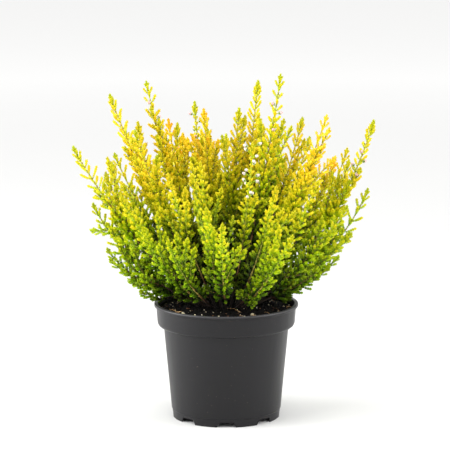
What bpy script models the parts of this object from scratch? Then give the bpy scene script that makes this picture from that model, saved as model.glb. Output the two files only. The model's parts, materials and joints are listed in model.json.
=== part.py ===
"""A golden heather in a 12 cm nursery pot.

The plant is a bush of leafy stems that fan out from a crown in the middle of the pot.
Each stem is one solid: a woody stalk in its hole in the peat, the slim core of its
spray, its side branches, and the short club-shaped shoots and flower buds that stand
out of them, all joined. The origin is under the pot's middle, on the ground, with the
front towards -Y. Everything is in metres.
"""

import math

import bmesh
import bpy
import numpy as np
from mathutils import Matrix, Vector
from mathutils.kdtree import KDTree

# The pot, an injection-moulded nursery pot 120 mm across its lip.
POT_STEPS = 32
POT_HEIGHT = 0.096
POT_WALL = 0.0012
LIP_RADIUS = 0.0600
LIP_HEIGHT = 0.0024
LIP_ROUND = 0.0004
COLLAR_TOP_RADIUS = 0.0582
COLLAR_FOOT_RADIUS = 0.0571
COLLAR_FOOT = 0.0775
COLLAR_ROUND = 0.0035
COLLAR_ROUND_STEPS = 2
WALL_TOP_RADIUS = 0.0522
WALL_FOOT_RADIUS = 0.0457
FOOT_HEIGHT = 0.007
FOOT_RADIUS = 0.0448
PLATE_BOTTOM = 0.0050
PLATE_TOP = 0.0064

# The notches in the foot, one of them at the front, and a drain hole behind each.
NOTCHES = 8
NOTCH_TOP_WIDTH = 0.012
NOTCH_FOOT_WIDTH = 0.017
NOTCH_HEIGHT = 0.0042
NOTCH_CUT_BELOW = 0.002
NOTCH_CUT_DEPTH = 6 * POT_WALL
DRAIN_RADIUS = 0.0040
DRAIN_RING = 0.034
DRAIN_SIDES = 6
DRAIN_CUT_DEPTH = 4 * (PLATE_TOP - PLATE_BOTTOM)

# The peat, mounded round the crown.
FIT_GAP = 0.0003
PEAT_EDGE_HEIGHT = 0.0908
PEAT_TOP_HEIGHT = 0.0934
PEAT_FLAT_RADIUS = 0.029
PEAT_RING = 0.044
PEAT_LUMP = 0.0008
PEAT_SEED = 11

# Each stem stands in a plain square hole.
HOLE_RADIUS = 0.0020
HOLE_SIDES = 4
HOLE_FOOT = 0.0800
STEM_FOOT = HOLE_FOOT + FIT_GAP
STEM_BEND = 0.0940

# The crown: the stems leave the peat under their tips, the far-reaching ones further out,
# and are then pushed apart.
CROWN_RADIUS = 0.0245
CROWN_POWER = 0.9
BASE_SPACING = 0.0052
SPREAD_MARGIN = 1.02
SPREAD_STEP = 0.4
SPREAD_ROUNDS = 400

# Half the thickness of a stalk and of the core of its spray, from corner to corner.
STALK_RADIUS = 0.0010
CORE_RADIUS = 0.0016
TIP_RADIUS = 0.0004
BARE_LENGTH = 0.014
CORE_FULL_LENGTH = 0.060
SPEAR_LENGTH = 0.012
STEM_POINTS = 5
BRANCH_POINTS = 4
DIAMOND = math.pi / 4

# The stems' curves, and how they are bent clear of each other.
SWAY = 0.03
SWAY_SEED = 5
BRANCH_LEAVES_AT = 0.42
BRANCH_HEADING = 0.01
BRANCH_PULL = 0.45
STEM_GAP = 0.0006
PUSH_BEYOND = 0.0004
PUSH_ROUNDS = 160
LINE_SAMPLES = 33

# Shoots stand in crossed pairs along a spray. Every fifth of them is modelled here.
PAIR_PITCH = 0.0048
FIRST_PAIR = 0.0055
LEAFLESS_LENGTH = 0.028
BRANCH_LEAFLESS_LENGTH = 0.008
SHOOT_EVERY = 5
SHOOT_SEED = 100
ROLL = 0.5
LIFT = 0.12
ANGLE_JITTER = 0.22
LEAN_JITTER = math.radians(6.0)
LENGTH_JITTER = 0.14
TANGENT_STEP = 0.002
COURSE_SAMPLES = 61

# A shoot's length and its lean from the stem, by how far below the tip it sits.
LENGTH_BELOW_TIP = (0.0, 0.016, 0.030, 0.080, 0.160)
SHOOT_LENGTHS = (0.0055, 0.0078, 0.0100, 0.0115, 0.0130)
LEAN_BELOW_TIP = (0.0, 0.016, 0.035, 0.120)
SHOOT_LEANS = (22.0, 33.0, 40.0, 46.0)

# A shoot is a three-sided club: thin at its root, widest past the middle, and pointed.
SHOOT_SIDES = 3
SHOOT_RADIUS = 0.00145
SHOOT_WIDEST = 0.64
SHOOT_ROOT_RADIUS = 0.0004
BUD_LENGTH = 0.0085
BUD_RADIUS = 0.0016
BUD_LEAN = math.radians(52.0)
GOLDEN_ANGLE = math.radians(137.5)

# The room that a shoot takes, as balls along it, and the turns and shrinks that are
# tried in order where it would come near another stem.
SHOOT_GAP = 0.00035
HULL_SHARES = np.linspace(0.15, 1.0, 7)
HULL_WIDTHS = (0.3, 1.0, 0.1)
CORE_SAMPLES = 120
ROOM_TRIES = ((0.0, 1.0), (0.5, 1.0), (-0.5, 1.0), (0.0, 0.75), (1.0, 0.8), (-1.0, 0.8))

MERGE_DISTANCE = 0.00001
FLAT_ANGLE = math.radians(0.2)
SHARP_ANGLE = math.radians(30.0)
UP = np.array((0.0, 0.0, 1.0))

# The tips of the stems, group by group: where each one ends (x, y, z), how far it bows
# below a straight line (a share of its length), and the tips of its side branches.
STEMS = {
    "left": [
        ((-0.1255, -0.030, 0.2320), 0.07, [(-0.1130, -0.004, 0.1560)]),
        ((-0.0970, 0.010, 0.2700), 0.03, [(-0.0860, 0.032, 0.2380)]),
        ((-0.0670, 0.020, 0.2800), 0.03, []),
        ((-0.0750, -0.025, 0.2450), 0.05, [(-0.0560, -0.046, 0.2260)]),
        ((-0.0930, -0.005, 0.2230), 0.06, []),
        ((-0.1110, -0.010, 0.1820), 0.16, []),
        ((-0.1030, 0.030, 0.1980), 0.10, []),
        ((-0.0990, 0.005, 0.1320), 0.10, []),
        ((-0.0800, 0.012, 0.1080), 0.06, [(-0.0720, -0.015, 0.1070)]),
    ],
    "middle": [
        ((-0.0490, 0.045, 0.2450), 0.05, [(-0.0420, 0.074, 0.2180)]),
        ((-0.0270, 0.060, 0.2580), 0.05, []),
        ((-0.0190, 0.028, 0.2560), 0.03, [(-0.0290, 0.046, 0.2310)]),
        ((-0.0160, 0.056, 0.2350), 0.06, []),
        ((0.0110, 0.025, 0.2570), 0.02, [(-0.0040, 0.006, 0.2360)]),
        ((0.0270, 0.035, 0.2790), 0.04, []),
        ((0.0450, 0.000, 0.2880), 0.03, []),
        ((0.0280, 0.062, 0.2470), 0.06, []),
        ((0.0480, 0.048, 0.2420), 0.05, [(0.0440, 0.072, 0.2200)]),
        ((0.0000, 0.084, 0.2270), 0.08, [(-0.0150, 0.092, 0.2180)]),
    ],
    "right": [
        ((0.0640, 0.018, 0.2500), 0.04, []),
        ((0.0720, 0.068, 0.2270), 0.07, []),
        ((0.0830, -0.015, 0.2560), 0.04, [(0.0920, 0.004, 0.2180)]),
        ((0.0770, 0.032, 0.2200), 0.06, []),
        ((0.0930, 0.050, 0.2100), 0.09, []),
        ((0.1240, 0.030, 0.2460), 0.13, [(0.1040, 0.012, 0.1980)]),
        ((0.1195, 0.018, 0.1900), 0.20, []),
        ((0.1000, -0.030, 0.1830), 0.10, []),
        ((0.1040, 0.000, 0.1560), 0.14, []),
        ((0.0880, -0.004, 0.1270), 0.08, []),
        ((0.0760, 0.030, 0.1090), 0.05, [(0.0640, 0.002, 0.1070)]),
    ],
    "front": [
        ((-0.0670, -0.060, 0.1640), 0.12, []),
        ((-0.0470, -0.082, 0.1640), 0.12, []),
        ((-0.0470, -0.060, 0.2140), 0.06, []),
        ((-0.0160, -0.096, 0.1920), 0.10, []),
        ((-0.0030, -0.1080, 0.1810), 0.11, []),
        ((-0.0210, -0.050, 0.2220), 0.04, []),
        ((0.0210, -0.068, 0.2400), 0.06, []),
        ((0.0410, -0.086, 0.1630), 0.13, []),
        ((0.0530, -0.100, 0.1700), 0.10, []),
        ((0.0400, -0.078, 0.2060), 0.07, [(0.0570, -0.062, 0.1830)]),
        ((0.0750, -0.050, 0.2070), 0.08, []),
        ((-0.0860, -0.052, 0.1950), 0.09, [(-0.0930, -0.040, 0.1560)]),
    ],
    "back": [
        ((-0.1020, 0.060, 0.2100), 0.09, [(-0.0980, 0.058, 0.1620)]),
        ((-0.0820, 0.078, 0.2240), 0.08, []),
        ((-0.0520, 0.098, 0.2140), 0.09, [(-0.0640, 0.088, 0.1600)]),
        ((-0.0220, 0.106, 0.2280), 0.08, []),
        ((0.0140, 0.107, 0.2060), 0.11, [(-0.0060, 0.104, 0.1640)]),
        ((0.0430, 0.101, 0.2240), 0.08, []),
        ((0.0760, 0.088, 0.2040), 0.10, [(0.0660, 0.094, 0.1560)]),
        ((0.1040, 0.062, 0.2180), 0.10, [(0.1010, 0.056, 0.1660)]),
        ((-0.0260, 0.100, 0.1400), 0.12, []),
        ((0.0320, 0.099, 0.1420), 0.13, []),
        ((-0.0740, 0.056, 0.1200), 0.08, []),
        ((-0.0340, 0.078, 0.1120), 0.06, []),
        ((0.0240, 0.080, 0.1110), 0.06, []),
        ((0.0720, 0.058, 0.1200), 0.08, []),
    ],
}

# Stems in flower: how far below the tip the first and the last bud sit, and how many.
FLOWERING = {
    "left_3": (0.022, 0.036, 2),
    "middle_2": (0.014, 0.034, 3),
    "middle_7": (0.024, 0.050, 4),
    "right_6": (0.028, 0.052, 4),
    "front_7": (0.006, 0.050, 8),
}

# The colours, and the height of a stem's tip above which it is golden or lime.
PLASTIC_COLOUR = (0.042, 0.043, 0.046, 1.0)
PEAT_COLOUR = (0.020, 0.014, 0.010, 1.0)
FOLIAGE_COLOURS = {
    "gold": (0.72, 0.52, 0.02, 1.0),
    "lime": (0.50, 0.60, 0.04, 1.0),
    "green": (0.20, 0.36, 0.02, 1.0),
}
PLASTIC_ROUGHNESS = 0.42
PEAT_ROUGHNESS = 0.95
FOLIAGE_ROUGHNESS = 0.55
GOLD_ABOVE = 0.20
LIME_ABOVE = 0.15


def clear_scene():
    for item in list(bpy.data.objects):
        bpy.data.objects.remove(item, do_unlink=True)


def new_collection(name, hidden=False):
    collection = bpy.data.collections.new(name)
    collection.hide_render = hidden
    bpy.context.scene.collection.children.link(collection)
    return collection


def new_material(name, colour, roughness):
    material = bpy.data.materials.new(name)
    material.use_nodes = True
    shader = material.node_tree.nodes["Principled BSDF"]
    shader.inputs["Base Color"].default_value = colour
    shader.inputs["Roughness"].default_value = roughness
    shader.inputs["Metallic"].default_value = 0.0
    return material


def new_object(name, mesh, collection):
    item = bpy.data.objects.new(name, mesh)
    collection.objects.link(item)
    return item


def bake_modifiers(item):
    """Turns what the modifiers make into the object's own mesh."""
    bpy.context.view_layer.update()
    graph = bpy.context.evaluated_depsgraph_get()
    mesh = bpy.data.meshes.new_from_object(item.evaluated_get(graph))
    item.modifiers.clear()
    item.data = mesh


def finish_surface(item, material):
    """Gives a finished piece its material, and shades it smooth between sharp edges."""
    item.data.materials.clear()
    item.data.materials.append(material)
    item.data.shade_smooth()
    item.data.set_sharp_from_angle(angle=SHARP_ANGLE)


def turned(name, profile, collection):
    """A shape turned from (radius, height) points that run down its outer side."""
    mesh = bpy.data.meshes.new(name)
    points = [(radius, 0.0, height) for radius, height in profile]
    mesh.from_pydata(points, [(i, i + 1) for i in range(len(points) - 1)], [])
    item = new_object(name, mesh, collection)
    screw = item.modifiers.new("turn", "SCREW")
    screw.steps = POT_STEPS
    screw.render_steps = POT_STEPS
    screw.use_merge_vertices = True
    screw.merge_threshold = 2 * MERGE_DISTANCE
    bake_modifiers(item)
    shape = bmesh.new()
    shape.from_mesh(item.data)
    bmesh.ops.dissolve_limit(shape, angle_limit=FLAT_ANGLE, verts=shape.verts, edges=shape.edges)
    shape.to_mesh(item.data)
    shape.free()
    return item


def add_cutter(name, shape, location, angle, cutters):
    """Makes a cutter of a bmesh shape, turned about +Z, and frees the bmesh."""
    mesh = bpy.data.meshes.new(name)
    shape.to_mesh(mesh)
    shape.free()
    cutter = new_object(name, mesh, cutters)
    cutter.location = location
    cutter.rotation_euler = (0.0, 0.0, angle)
    cutter.hide_render = True
    cutter.display_type = "WIRE"


def cut_with(item, cutters):
    """Cuts every cutter of the collection from a piece, and removes the cutters."""
    cut = item.modifiers.new("cut", "BOOLEAN")
    cut.operation = "DIFFERENCE"
    cut.operand_type = "COLLECTION"
    cut.collection = cutters
    bake_modifiers(item)
    for cutter in list(cutters.objects):
        bpy.data.objects.remove(cutter, do_unlink=True)


def wall_radius(height):
    """The outer radius of the pot's tapered wall."""
    rise = (height - FOOT_HEIGHT) / (COLLAR_FOOT - FOOT_HEIGHT)
    return WALL_FOOT_RADIUS + rise * (WALL_TOP_RADIUS - WALL_FOOT_RADIUS)


def pot_inside():
    """The pot's inner corners, from the base plate up to the lip."""
    step = COLLAR_FOOT + POT_WALL
    return [
        (FOOT_RADIUS - POT_WALL, PLATE_TOP),
        (wall_radius(COLLAR_FOOT) - POT_WALL, step),
        (COLLAR_FOOT_RADIUS - POT_WALL, step + COLLAR_ROUND),
        (COLLAR_TOP_RADIUS - POT_WALL, POT_HEIGHT),
    ]


def collar_corner():
    """The rounded corner under the collar, a quarter circle from its side to its foot."""
    middle = (COLLAR_FOOT_RADIUS - COLLAR_ROUND, COLLAR_FOOT + COLLAR_ROUND)
    points = []
    for i in range(COLLAR_ROUND_STEPS + 1):
        angle = math.pi / 2 * i / COLLAR_ROUND_STEPS
        points.append((middle[0] + COLLAR_ROUND * math.cos(angle),
                       middle[1] - COLLAR_ROUND * math.sin(angle)))
    return points


def make_pot(collection, cutters):
    """The pot's wall, collar, lip and base plate are one turned profile."""
    lip_foot = POT_HEIGHT - LIP_HEIGHT
    profile = [(0.0, PLATE_TOP)] + pot_inside()
    profile += [
        (LIP_RADIUS, POT_HEIGHT),
        (LIP_RADIUS, lip_foot),
        (COLLAR_TOP_RADIUS, lip_foot - LIP_ROUND),
    ]
    profile += collar_corner()
    profile += [
        (wall_radius(COLLAR_FOOT), COLLAR_FOOT - FIT_GAP),
        (WALL_FOOT_RADIUS, FOOT_HEIGHT),
        (FOOT_RADIUS + FIT_GAP, FOOT_HEIGHT - FIT_GAP),
        (FOOT_RADIUS, 0.0),
        (FOOT_RADIUS - POT_WALL, 0.0),
        (FOOT_RADIUS - POT_WALL, PLATE_BOTTOM),
        (0.0, PLATE_BOTTOM),
    ]
    pot = turned("pot", profile, collection)
    for i in range(NOTCHES):
        angle = math.tau * i / NOTCHES - math.pi / 2
        add_notch_cutter(cutters, angle)
        add_drain_cutter(cutters, angle)
    cut_with(pot, cutters)
    return pot


def add_notch_cutter(cutters, angle):
    """A wedge, wider at the ground, through the foot of the wall."""
    shape = bmesh.new()
    bmesh.ops.create_cube(shape, size=1.0)
    for point in shape.verts:
        width = NOTCH_TOP_WIDTH if point.co.z > 0 else NOTCH_FOOT_WIDTH
        height = NOTCH_HEIGHT if point.co.z > 0 else -NOTCH_CUT_BELOW
        point.co = Vector((point.co.x * NOTCH_CUT_DEPTH, point.co.y * width, height))
    out = Vector((math.cos(angle), math.sin(angle), 0.0))
    add_cutter("notch", shape, out * (FOOT_RADIUS - POT_WALL / 2), angle, cutters)


def add_drain_cutter(cutters, angle):
    """A round hole through the base plate."""
    shape = bmesh.new()
    bmesh.ops.create_cone(shape, cap_ends=True, segments=DRAIN_SIDES, depth=DRAIN_CUT_DEPTH,
                          radius1=DRAIN_RADIUS, radius2=DRAIN_RADIUS)
    middle = Vector((0.0, 0.0, (PLATE_TOP + PLATE_BOTTOM) / 2))
    out = Vector((math.cos(angle), math.sin(angle), 0.0))
    add_cutter("drain", shape, out * DRAIN_RING + middle, angle, cutters)


def make_peat(collection, cutters, bases):
    """The peat fills the pot, with a lumpy top and a hole for each stem."""
    foot, step, collar, lip = [(radius - FIT_GAP, height) for radius, height in pot_inside()]
    floor = foot[1] + FIT_GAP
    share = (PEAT_EDGE_HEIGHT - collar[1]) / (lip[1] - collar[1])
    edge = (collar[0] + share * (lip[0] - collar[0]), PEAT_EDGE_HEIGHT)
    ring_height = (PEAT_TOP_HEIGHT + PEAT_EDGE_HEIGHT) / 2 + PEAT_LUMP
    profile = [
        (0.0, PEAT_TOP_HEIGHT),
        (PEAT_FLAT_RADIUS, PEAT_TOP_HEIGHT),
        (PEAT_RING, ring_height),
        edge,
        collar,
        step,
        (foot[0], floor),
        (0.0, floor),
    ]
    peat = turned("peat", profile, collection)
    lumps = np.random.default_rng(PEAT_SEED)
    for point in peat.data.vertices:
        on_ring = abs(math.hypot(point.co.x, point.co.y) - PEAT_RING) < PEAT_LUMP
        if on_ring and point.co.z > PEAT_EDGE_HEIGHT:
            point.co.z += PEAT_LUMP * lumps.uniform(-1.0, 1.0)
    depth = 2 * (PEAT_TOP_HEIGHT - HOLE_FOOT)
    for x, y, _ in bases:
        shape = bmesh.new()
        bmesh.ops.create_cone(shape, cap_ends=True, segments=HOLE_SIDES, depth=depth,
                              radius1=HOLE_RADIUS, radius2=HOLE_RADIUS)
        add_cutter("hole", shape, (x, y, HOLE_FOOT + depth / 2), 0.0, cutters)
    cut_with(peat, cutters)
    return peat


def unit(vector):
    return vector / np.linalg.norm(vector)


def stem_rows():
    """Every stem of the table as (name, tip, bow, tips of its branches)."""
    rows = []
    for group, stems in STEMS.items():
        for number, (tip, bow, branches) in enumerate(stems, 1):
            rows.append((f"{group}_{number}", np.array(tip), bow, branches))
    return rows


def spread_bases(tips):
    """Where the stems leave the peat: under their tips, pushed apart to fit."""
    flat = tips[:, :2]
    reach = np.linalg.norm(flat, axis=1)
    ring = CROWN_RADIUS * (reach / reach.max()) ** CROWN_POWER
    bases = flat / reach[:, None] * ring[:, None]
    for _ in range(SPREAD_ROUNDS):
        apart = bases[:, None] - bases[None]
        distance = np.linalg.norm(apart, axis=2) + np.eye(len(bases))
        short = np.clip(BASE_SPACING * SPREAD_MARGIN - distance, 0.0, None)
        np.fill_diagonal(short, 0.0)
        bases = bases + (apart / distance[..., None] * short[..., None]).sum(axis=1) * SPREAD_STEP
        radius = np.linalg.norm(bases, axis=1)
        bases = bases * np.minimum(1.0, CROWN_RADIUS / radius)[:, None]
    return np.column_stack([bases, np.full(len(bases), STEM_BEND)])


def bowed_control(start, tip, bow, sway):
    """The middle point of a curve that leaves flatter than it arrives."""
    chord = tip - start
    length = np.linalg.norm(chord)
    along = chord / length
    out = np.array((chord[0], chord[1], 0.0))
    out = unit(out - out.dot(along) * along)
    return start + chord / 2 + length * (bow * out + sway * np.cross(along, out))


def core_radius(from_peat, to_tip, on_branch):
    """The core's radius at this length from the peat and from the tip."""
    start = 1.0 if on_branch else np.clip(
        (from_peat - BARE_LENGTH) / (CORE_FULL_LENGTH - BARE_LENGTH), 0.0, 1.0)
    radius = STALK_RADIUS + (CORE_RADIUS - STALK_RADIUS) * start
    end = np.clip(to_tip / SPEAR_LENGTH, 0.0, 1.0)
    return np.minimum(radius, TIP_RADIUS + (CORE_RADIUS - TIP_RADIUS) * end)


class Line:
    """The middle line of a stem or of a side branch, as a quadratic curve."""

    def __init__(self, stem, start, control, tip, parent=None):
        self.stem = stem
        self.start = start
        self.control = control
        self.tip = tip
        self.parent = parent
        self.bend = np.zeros(3)

    def points(self, shares):
        t = np.asarray(shares)[:, None]
        return (1 - t) ** 2 * self.start + 2 * t * (1 - t) * self.control + t ** 2 * self.tip

    def lengths(self, points):
        steps = np.linalg.norm(np.diff(points, axis=0), axis=1)
        return np.concatenate([[0.0], np.cumsum(steps)])

    def radii(self, points):
        run = self.lengths(points)
        return core_radius(run, run[-1] - run, self.parent is not None)


def make_lines():
    """The middle lines of all stems and branches, bent clear of each other."""
    rows = stem_rows()
    bases = spread_bases(np.array([tip for _, tip, _, _ in rows]))
    sway = np.random.default_rng(SWAY_SEED).uniform(-SWAY, SWAY, len(rows))
    lines = []
    for stem, (_, tip, bow, branches) in enumerate(rows):
        stalk = Line(stem, bases[stem], bowed_control(bases[stem], tip, bow, sway[stem]), tip)
        lines.append(stalk)
        for branch_tip in branches:
            lines.append(Line(stem, None, None, np.array(branch_tip), stalk))
    for _ in range(PUSH_ROUNDS):
        hang_branches(lines)
        if not push_apart(lines):
            break
    return rows, bases, lines


def hang_branches(lines):
    """Starts each branch on its stem, leaving along it. A later push stays in bend."""
    for line in lines:
        if line.parent is None:
            continue
        at = line.parent.points([BRANCH_LEAVES_AT, BRANCH_LEAVES_AT + BRANCH_HEADING])
        line.start = at[0]
        reach = np.linalg.norm(line.tip - line.start)
        line.control = line.start + BRANCH_PULL * reach * unit(at[1] - at[0]) + line.bend


def push_apart(lines):
    """Moves the middle of each line away from the lines that come too near it."""
    shares = np.linspace(0.0, 1.0, LINE_SAMPLES)
    points = np.concatenate([line.points(shares) for line in lines])
    radii = np.concatenate([line.radii(line.points(shares)) for line in lines])
    owners = np.repeat(np.arange(len(lines)), LINE_SAMPLES)
    tree = KDTree(len(points))
    for index, point in enumerate(points):
        tree.insert(point, index)
    tree.balance()
    worst = np.zeros(len(lines))
    pushes = np.zeros((len(lines), 3))
    for index, point in enumerate(points):
        own = owners[index]
        for _, other, distance in tree.find_range(point, 2 * CORE_RADIUS + STEM_GAP):
            if lines[owners[other]].stem == lines[own].stem:
                continue
            short = radii[index] + radii[other] + STEM_GAP - distance
            if short > worst[own]:
                worst[own] = short
                pushes[own] = (point - points[other]) / distance * (short + PUSH_BEYOND)
    for line, push in zip(lines, pushes):
        line.control = line.control + push
        if line.parent is not None:
            line.bend = line.bend + push
    return worst.max() > 0


class Course:
    """A line measured along its length, with a frame at each place on it."""

    def __init__(self, line):
        self.points = line.points(np.linspace(0.0, 1.0, COURSE_SAMPLES))
        self.run = line.lengths(self.points)
        self.whole = self.run[-1]

    def place(self, at):
        return np.array([np.interp(at, self.run, self.points[:, axis]) for axis in range(3)])

    def frame(self, to_tip):
        """The point at this length from the tip, and the three directions there."""
        root = self.place(self.whole - to_tip)
        along = unit(self.place(self.whole - to_tip + TANGENT_STEP) - root)
        across = unit(np.cross(UP, along))
        return root, along, across, np.cross(along, across)


def lean_out(frame, angle, lean):
    """A direction that leans out of the stem, at an angle round it, lifted a little."""
    _, along, across, third = frame
    out = math.cos(angle) * across + math.sin(angle) * third
    return unit(math.cos(lean) * along + math.sin(lean) * out + LIFT * UP)


def buds_along(line, first, last, count):
    """The root and direction of each flower bud of a line, in a spiral below its tip."""
    course = Course(line)
    for i in range(count):
        frame = course.frame(first + (last - first) * i / (count - 1))
        yield frame[0], lean_out(frame, GOLDEN_ANGLE * i, BUD_LEAN)


def line_draws(number):
    """The random draws of a line, which don't depend on any other line, and the first
    of them: how far the crossed pairs are turned round it."""
    draws = np.random.default_rng(SHOOT_SEED + number)
    return draws, draws.uniform(-ROLL, ROLL)


def shoots_along(line, number):
    """Every shoot of a line: its index, its root, its direction and its length."""
    course = Course(line)
    bare = LEAFLESS_LENGTH if line.parent is None else BRANCH_LEAFLESS_LENGTH
    pairs = int((course.whole - bare - FIRST_PAIR) / PAIR_PITCH) + 1
    draws, turn = line_draws(number)
    jitter = draws.uniform(-1.0, 1.0, (pairs, 2, 3))
    for pair in range(pairs):
        to_tip = FIRST_PAIR + pair * PAIR_PITCH
        frame = course.frame(to_tip)
        length = np.interp(to_tip, LENGTH_BELOW_TIP, SHOOT_LENGTHS)
        lean = math.radians(np.interp(to_tip, LEAN_BELOW_TIP, SHOOT_LEANS))
        for side in range(2):
            wide, steep, long = jitter[pair, side]
            angle = turn + math.pi / 2 * (pair % 2) + math.pi * side + ANGLE_JITTER * wide
            direction = lean_out(frame, angle, lean + LEAN_JITTER * steep)
            yield 2 * pair + side, frame[0], direction, length * (1.0 + LENGTH_JITTER * long)


class Taken:
    """The space that the stems and the shoots placed so far fill, as small balls."""

    def __init__(self, lines):
        shares = np.linspace(0.0, 1.0, CORE_SAMPLES)
        cores = [line.points(shares) for line in lines]
        self.spots = np.concatenate(cores)
        self.radii = np.concatenate([line.radii(core) for line, core in zip(lines, cores)])
        self.owners = np.repeat([line.stem for line in lines], CORE_SAMPLES)

    def clear(self, stem, spots, radii):
        """True if nothing here comes near another stem, the pot's rim or the peat."""
        reach = np.linalg.norm(spots[:, :2], axis=1)
        over_pot = reach < LIP_RADIUS + radii + SHOOT_GAP
        if (over_pot & (spots[:, 2] < POT_HEIGHT + radii + SHOOT_GAP)).any():
            return False
        others = self.owners != stem
        apart = np.linalg.norm(spots[:, None] - self.spots[others][None], axis=2)
        return bool((apart > radii[:, None] + self.radii[others][None] + SHOOT_GAP).all())

    def add(self, stem, spots, radii):
        self.spots = np.concatenate([self.spots, spots])
        self.radii = np.concatenate([self.radii, radii])
        self.owners = np.concatenate([self.owners, np.full(len(spots), stem)])


def try_place(taken, stem, root, direction, length, radius):
    """The shoot as drawn, or turned aside or shortened where it would reach another
    stem. None if it finds no room."""
    for turn, shrink in ROOM_TRIES:
        aimed = np.array(Matrix.Rotation(turn, 3, "Z") @ Vector(direction))
        spots = root + HULL_SHARES[:, None] * length * shrink * aimed
        radii = radius * np.interp(HULL_SHARES, (0.0, SHOOT_WIDEST, 1.0), HULL_WIDTHS)
        if taken.clear(stem, spots, radii):
            taken.add(stem, spots, radii)
            return root, aimed, length * shrink, radius
    return None


def place_shoots(rows, lines):
    """The buds and shoots to model on each stem."""
    taken = Taken(lines)
    placed = [[] for _ in rows]
    for number, line in enumerate(lines):
        name = rows[line.stem][0]
        wanted = []
        if line.parent is None and name in FLOWERING:
            for root, direction in buds_along(line, *FLOWERING[name]):
                wanted.append((root, direction, BUD_LENGTH, BUD_RADIUS))
        for index, root, direction, length in shoots_along(line, number):
            if index % SHOOT_EVERY == 0:
                wanted.append((root, direction, length, SHOOT_RADIUS))
        for shoot in wanted:
            placed[line.stem].append(try_place(taken, line.stem, *shoot))
    return [[shoot for shoot in found if shoot] for found in placed]


def club_mesh(name):
    """A club of length 1 and radius 1, thin at its root and pointed."""
    mesh = bpy.data.meshes.new(name)
    shape = bmesh.new()
    bmesh.ops.create_cone(shape, cap_ends=True, segments=SHOOT_SIDES, depth=SHOOT_WIDEST,
                          radius1=SHOOT_ROOT_RADIUS / SHOOT_RADIUS, radius2=1.0)
    bmesh.ops.translate(shape, verts=shape.verts, vec=(0.0, 0.0, SHOOT_WIDEST / 2))
    top = max(shape.faces, key=lambda face: face.calc_center_median().z)
    bmesh.ops.poke(shape, faces=[top], offset=1.0 - SHOOT_WIDEST)
    shape.to_mesh(mesh)
    shape.free()
    return mesh


def place_club(mesh, root, direction, length, radius, collection):
    club = new_object("shoot", mesh, collection)
    turn = Vector(direction).to_track_quat("Z", "Y").to_matrix().to_4x4()
    size = Matrix.Diagonal((radius, radius, length, 1.0))
    club.matrix_world = Matrix.Translation(Vector(root)) @ turn @ size


def tube(name, points, radii, roll, collection):
    """A four-sided tube with its own radius at each point, as a closed mesh."""
    curve = bpy.data.curves.new(name, "CURVE")
    curve.dimensions = "3D"
    curve.bevel_depth = 1.0
    curve.bevel_resolution = 0
    curve.use_fill_caps = True
    curve.twist_mode = "Z_UP"
    spline = curve.splines.new("POLY")
    spline.points.add(len(points) - 1)
    for spot, place, radius in zip(spline.points, points, radii):
        spot.co = (*place, 1.0)
        spot.radius = radius
        spot.tilt = roll
    drawn = new_object(name + "_line", curve, collection)
    bpy.context.view_layer.update()
    graph = bpy.context.evaluated_depsgraph_get()
    mesh = bpy.data.meshes.new_from_object(drawn.evaluated_get(graph))
    bpy.data.objects.remove(drawn, do_unlink=True)
    bpy.data.curves.remove(curve)
    shape = bmesh.new()
    shape.from_mesh(mesh)
    bmesh.ops.remove_doubles(shape, verts=shape.verts, dist=MERGE_DISTANCE)
    bmesh.ops.recalc_face_normals(shape, faces=shape.faces)
    shape.to_mesh(mesh)
    shape.free()
    return new_object(name, mesh, collection)


def tube_points(line, count):
    """Points for a line's tube, with one at the shoulder of its pointed tip."""
    course = Course(line)
    at = np.append(np.linspace(0.0, course.whole - SPEAR_LENGTH, count), course.whole)
    points = np.array([course.place(length) for length in at])
    return points, core_radius(at, course.whole - at, line.parent is not None)


def make_stem(name, own, shoots, club, collection, pieces):
    """Joins a stalk, its branches and its shoots into one solid.

    The flats of a tube face the pairs of shoots, so that each root meets one flat.
    """
    points, radii = tube_points(own[0][1], STEM_POINTS)
    foot = np.array((points[0][0], points[0][1], STEM_FOOT))
    points = np.concatenate([[foot], points])
    radii = np.concatenate([[STALK_RADIUS], radii])
    stalk = tube(name, points, radii, line_draws(own[0][0])[1] + DIAMOND, collection)
    for number, line in own[1:]:
        points, radii = tube_points(line, BRANCH_POINTS)
        radii[0] = STALK_RADIUS
        tube(name + "_branch", points, radii, line_draws(number)[1] + DIAMOND, pieces)
    for shoot in shoots:
        place_club(club, *shoot, pieces)
    join = stalk.modifiers.new("join", "BOOLEAN")
    join.operation = "UNION"
    join.operand_type = "COLLECTION"
    join.collection = pieces
    join.solver = "MANIFOLD"
    bake_modifiers(stalk)
    drop_bubbles(stalk.data)
    for item in list(pieces.objects):
        bpy.data.objects.remove(item, do_unlink=True)
    return stalk


def drop_bubbles(mesh):
    """Fills the small hollows that joined shoots can seal: only the largest skin stays."""
    shape = bmesh.new()
    shape.from_mesh(mesh)
    left = set(shape.verts)
    skins = []
    while left:
        skin = set()
        edge = [left.pop()]
        while edge:
            point = edge.pop()
            skin.add(point)
            near = {link.other_vert(point) for link in point.link_edges} & left
            left -= near
            edge.extend(near)
        skins.append(skin)
    skins.sort(key=len)
    for skin in skins[:-1]:
        bmesh.ops.delete(shape, geom=list(skin), context="VERTS")
    shape.to_mesh(mesh)
    shape.free()


def foliage_tone(tip):
    if tip[2] > GOLD_ABOVE:
        return "gold"
    return "lime" if tip[2] > LIME_ABOVE else "green"


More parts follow.
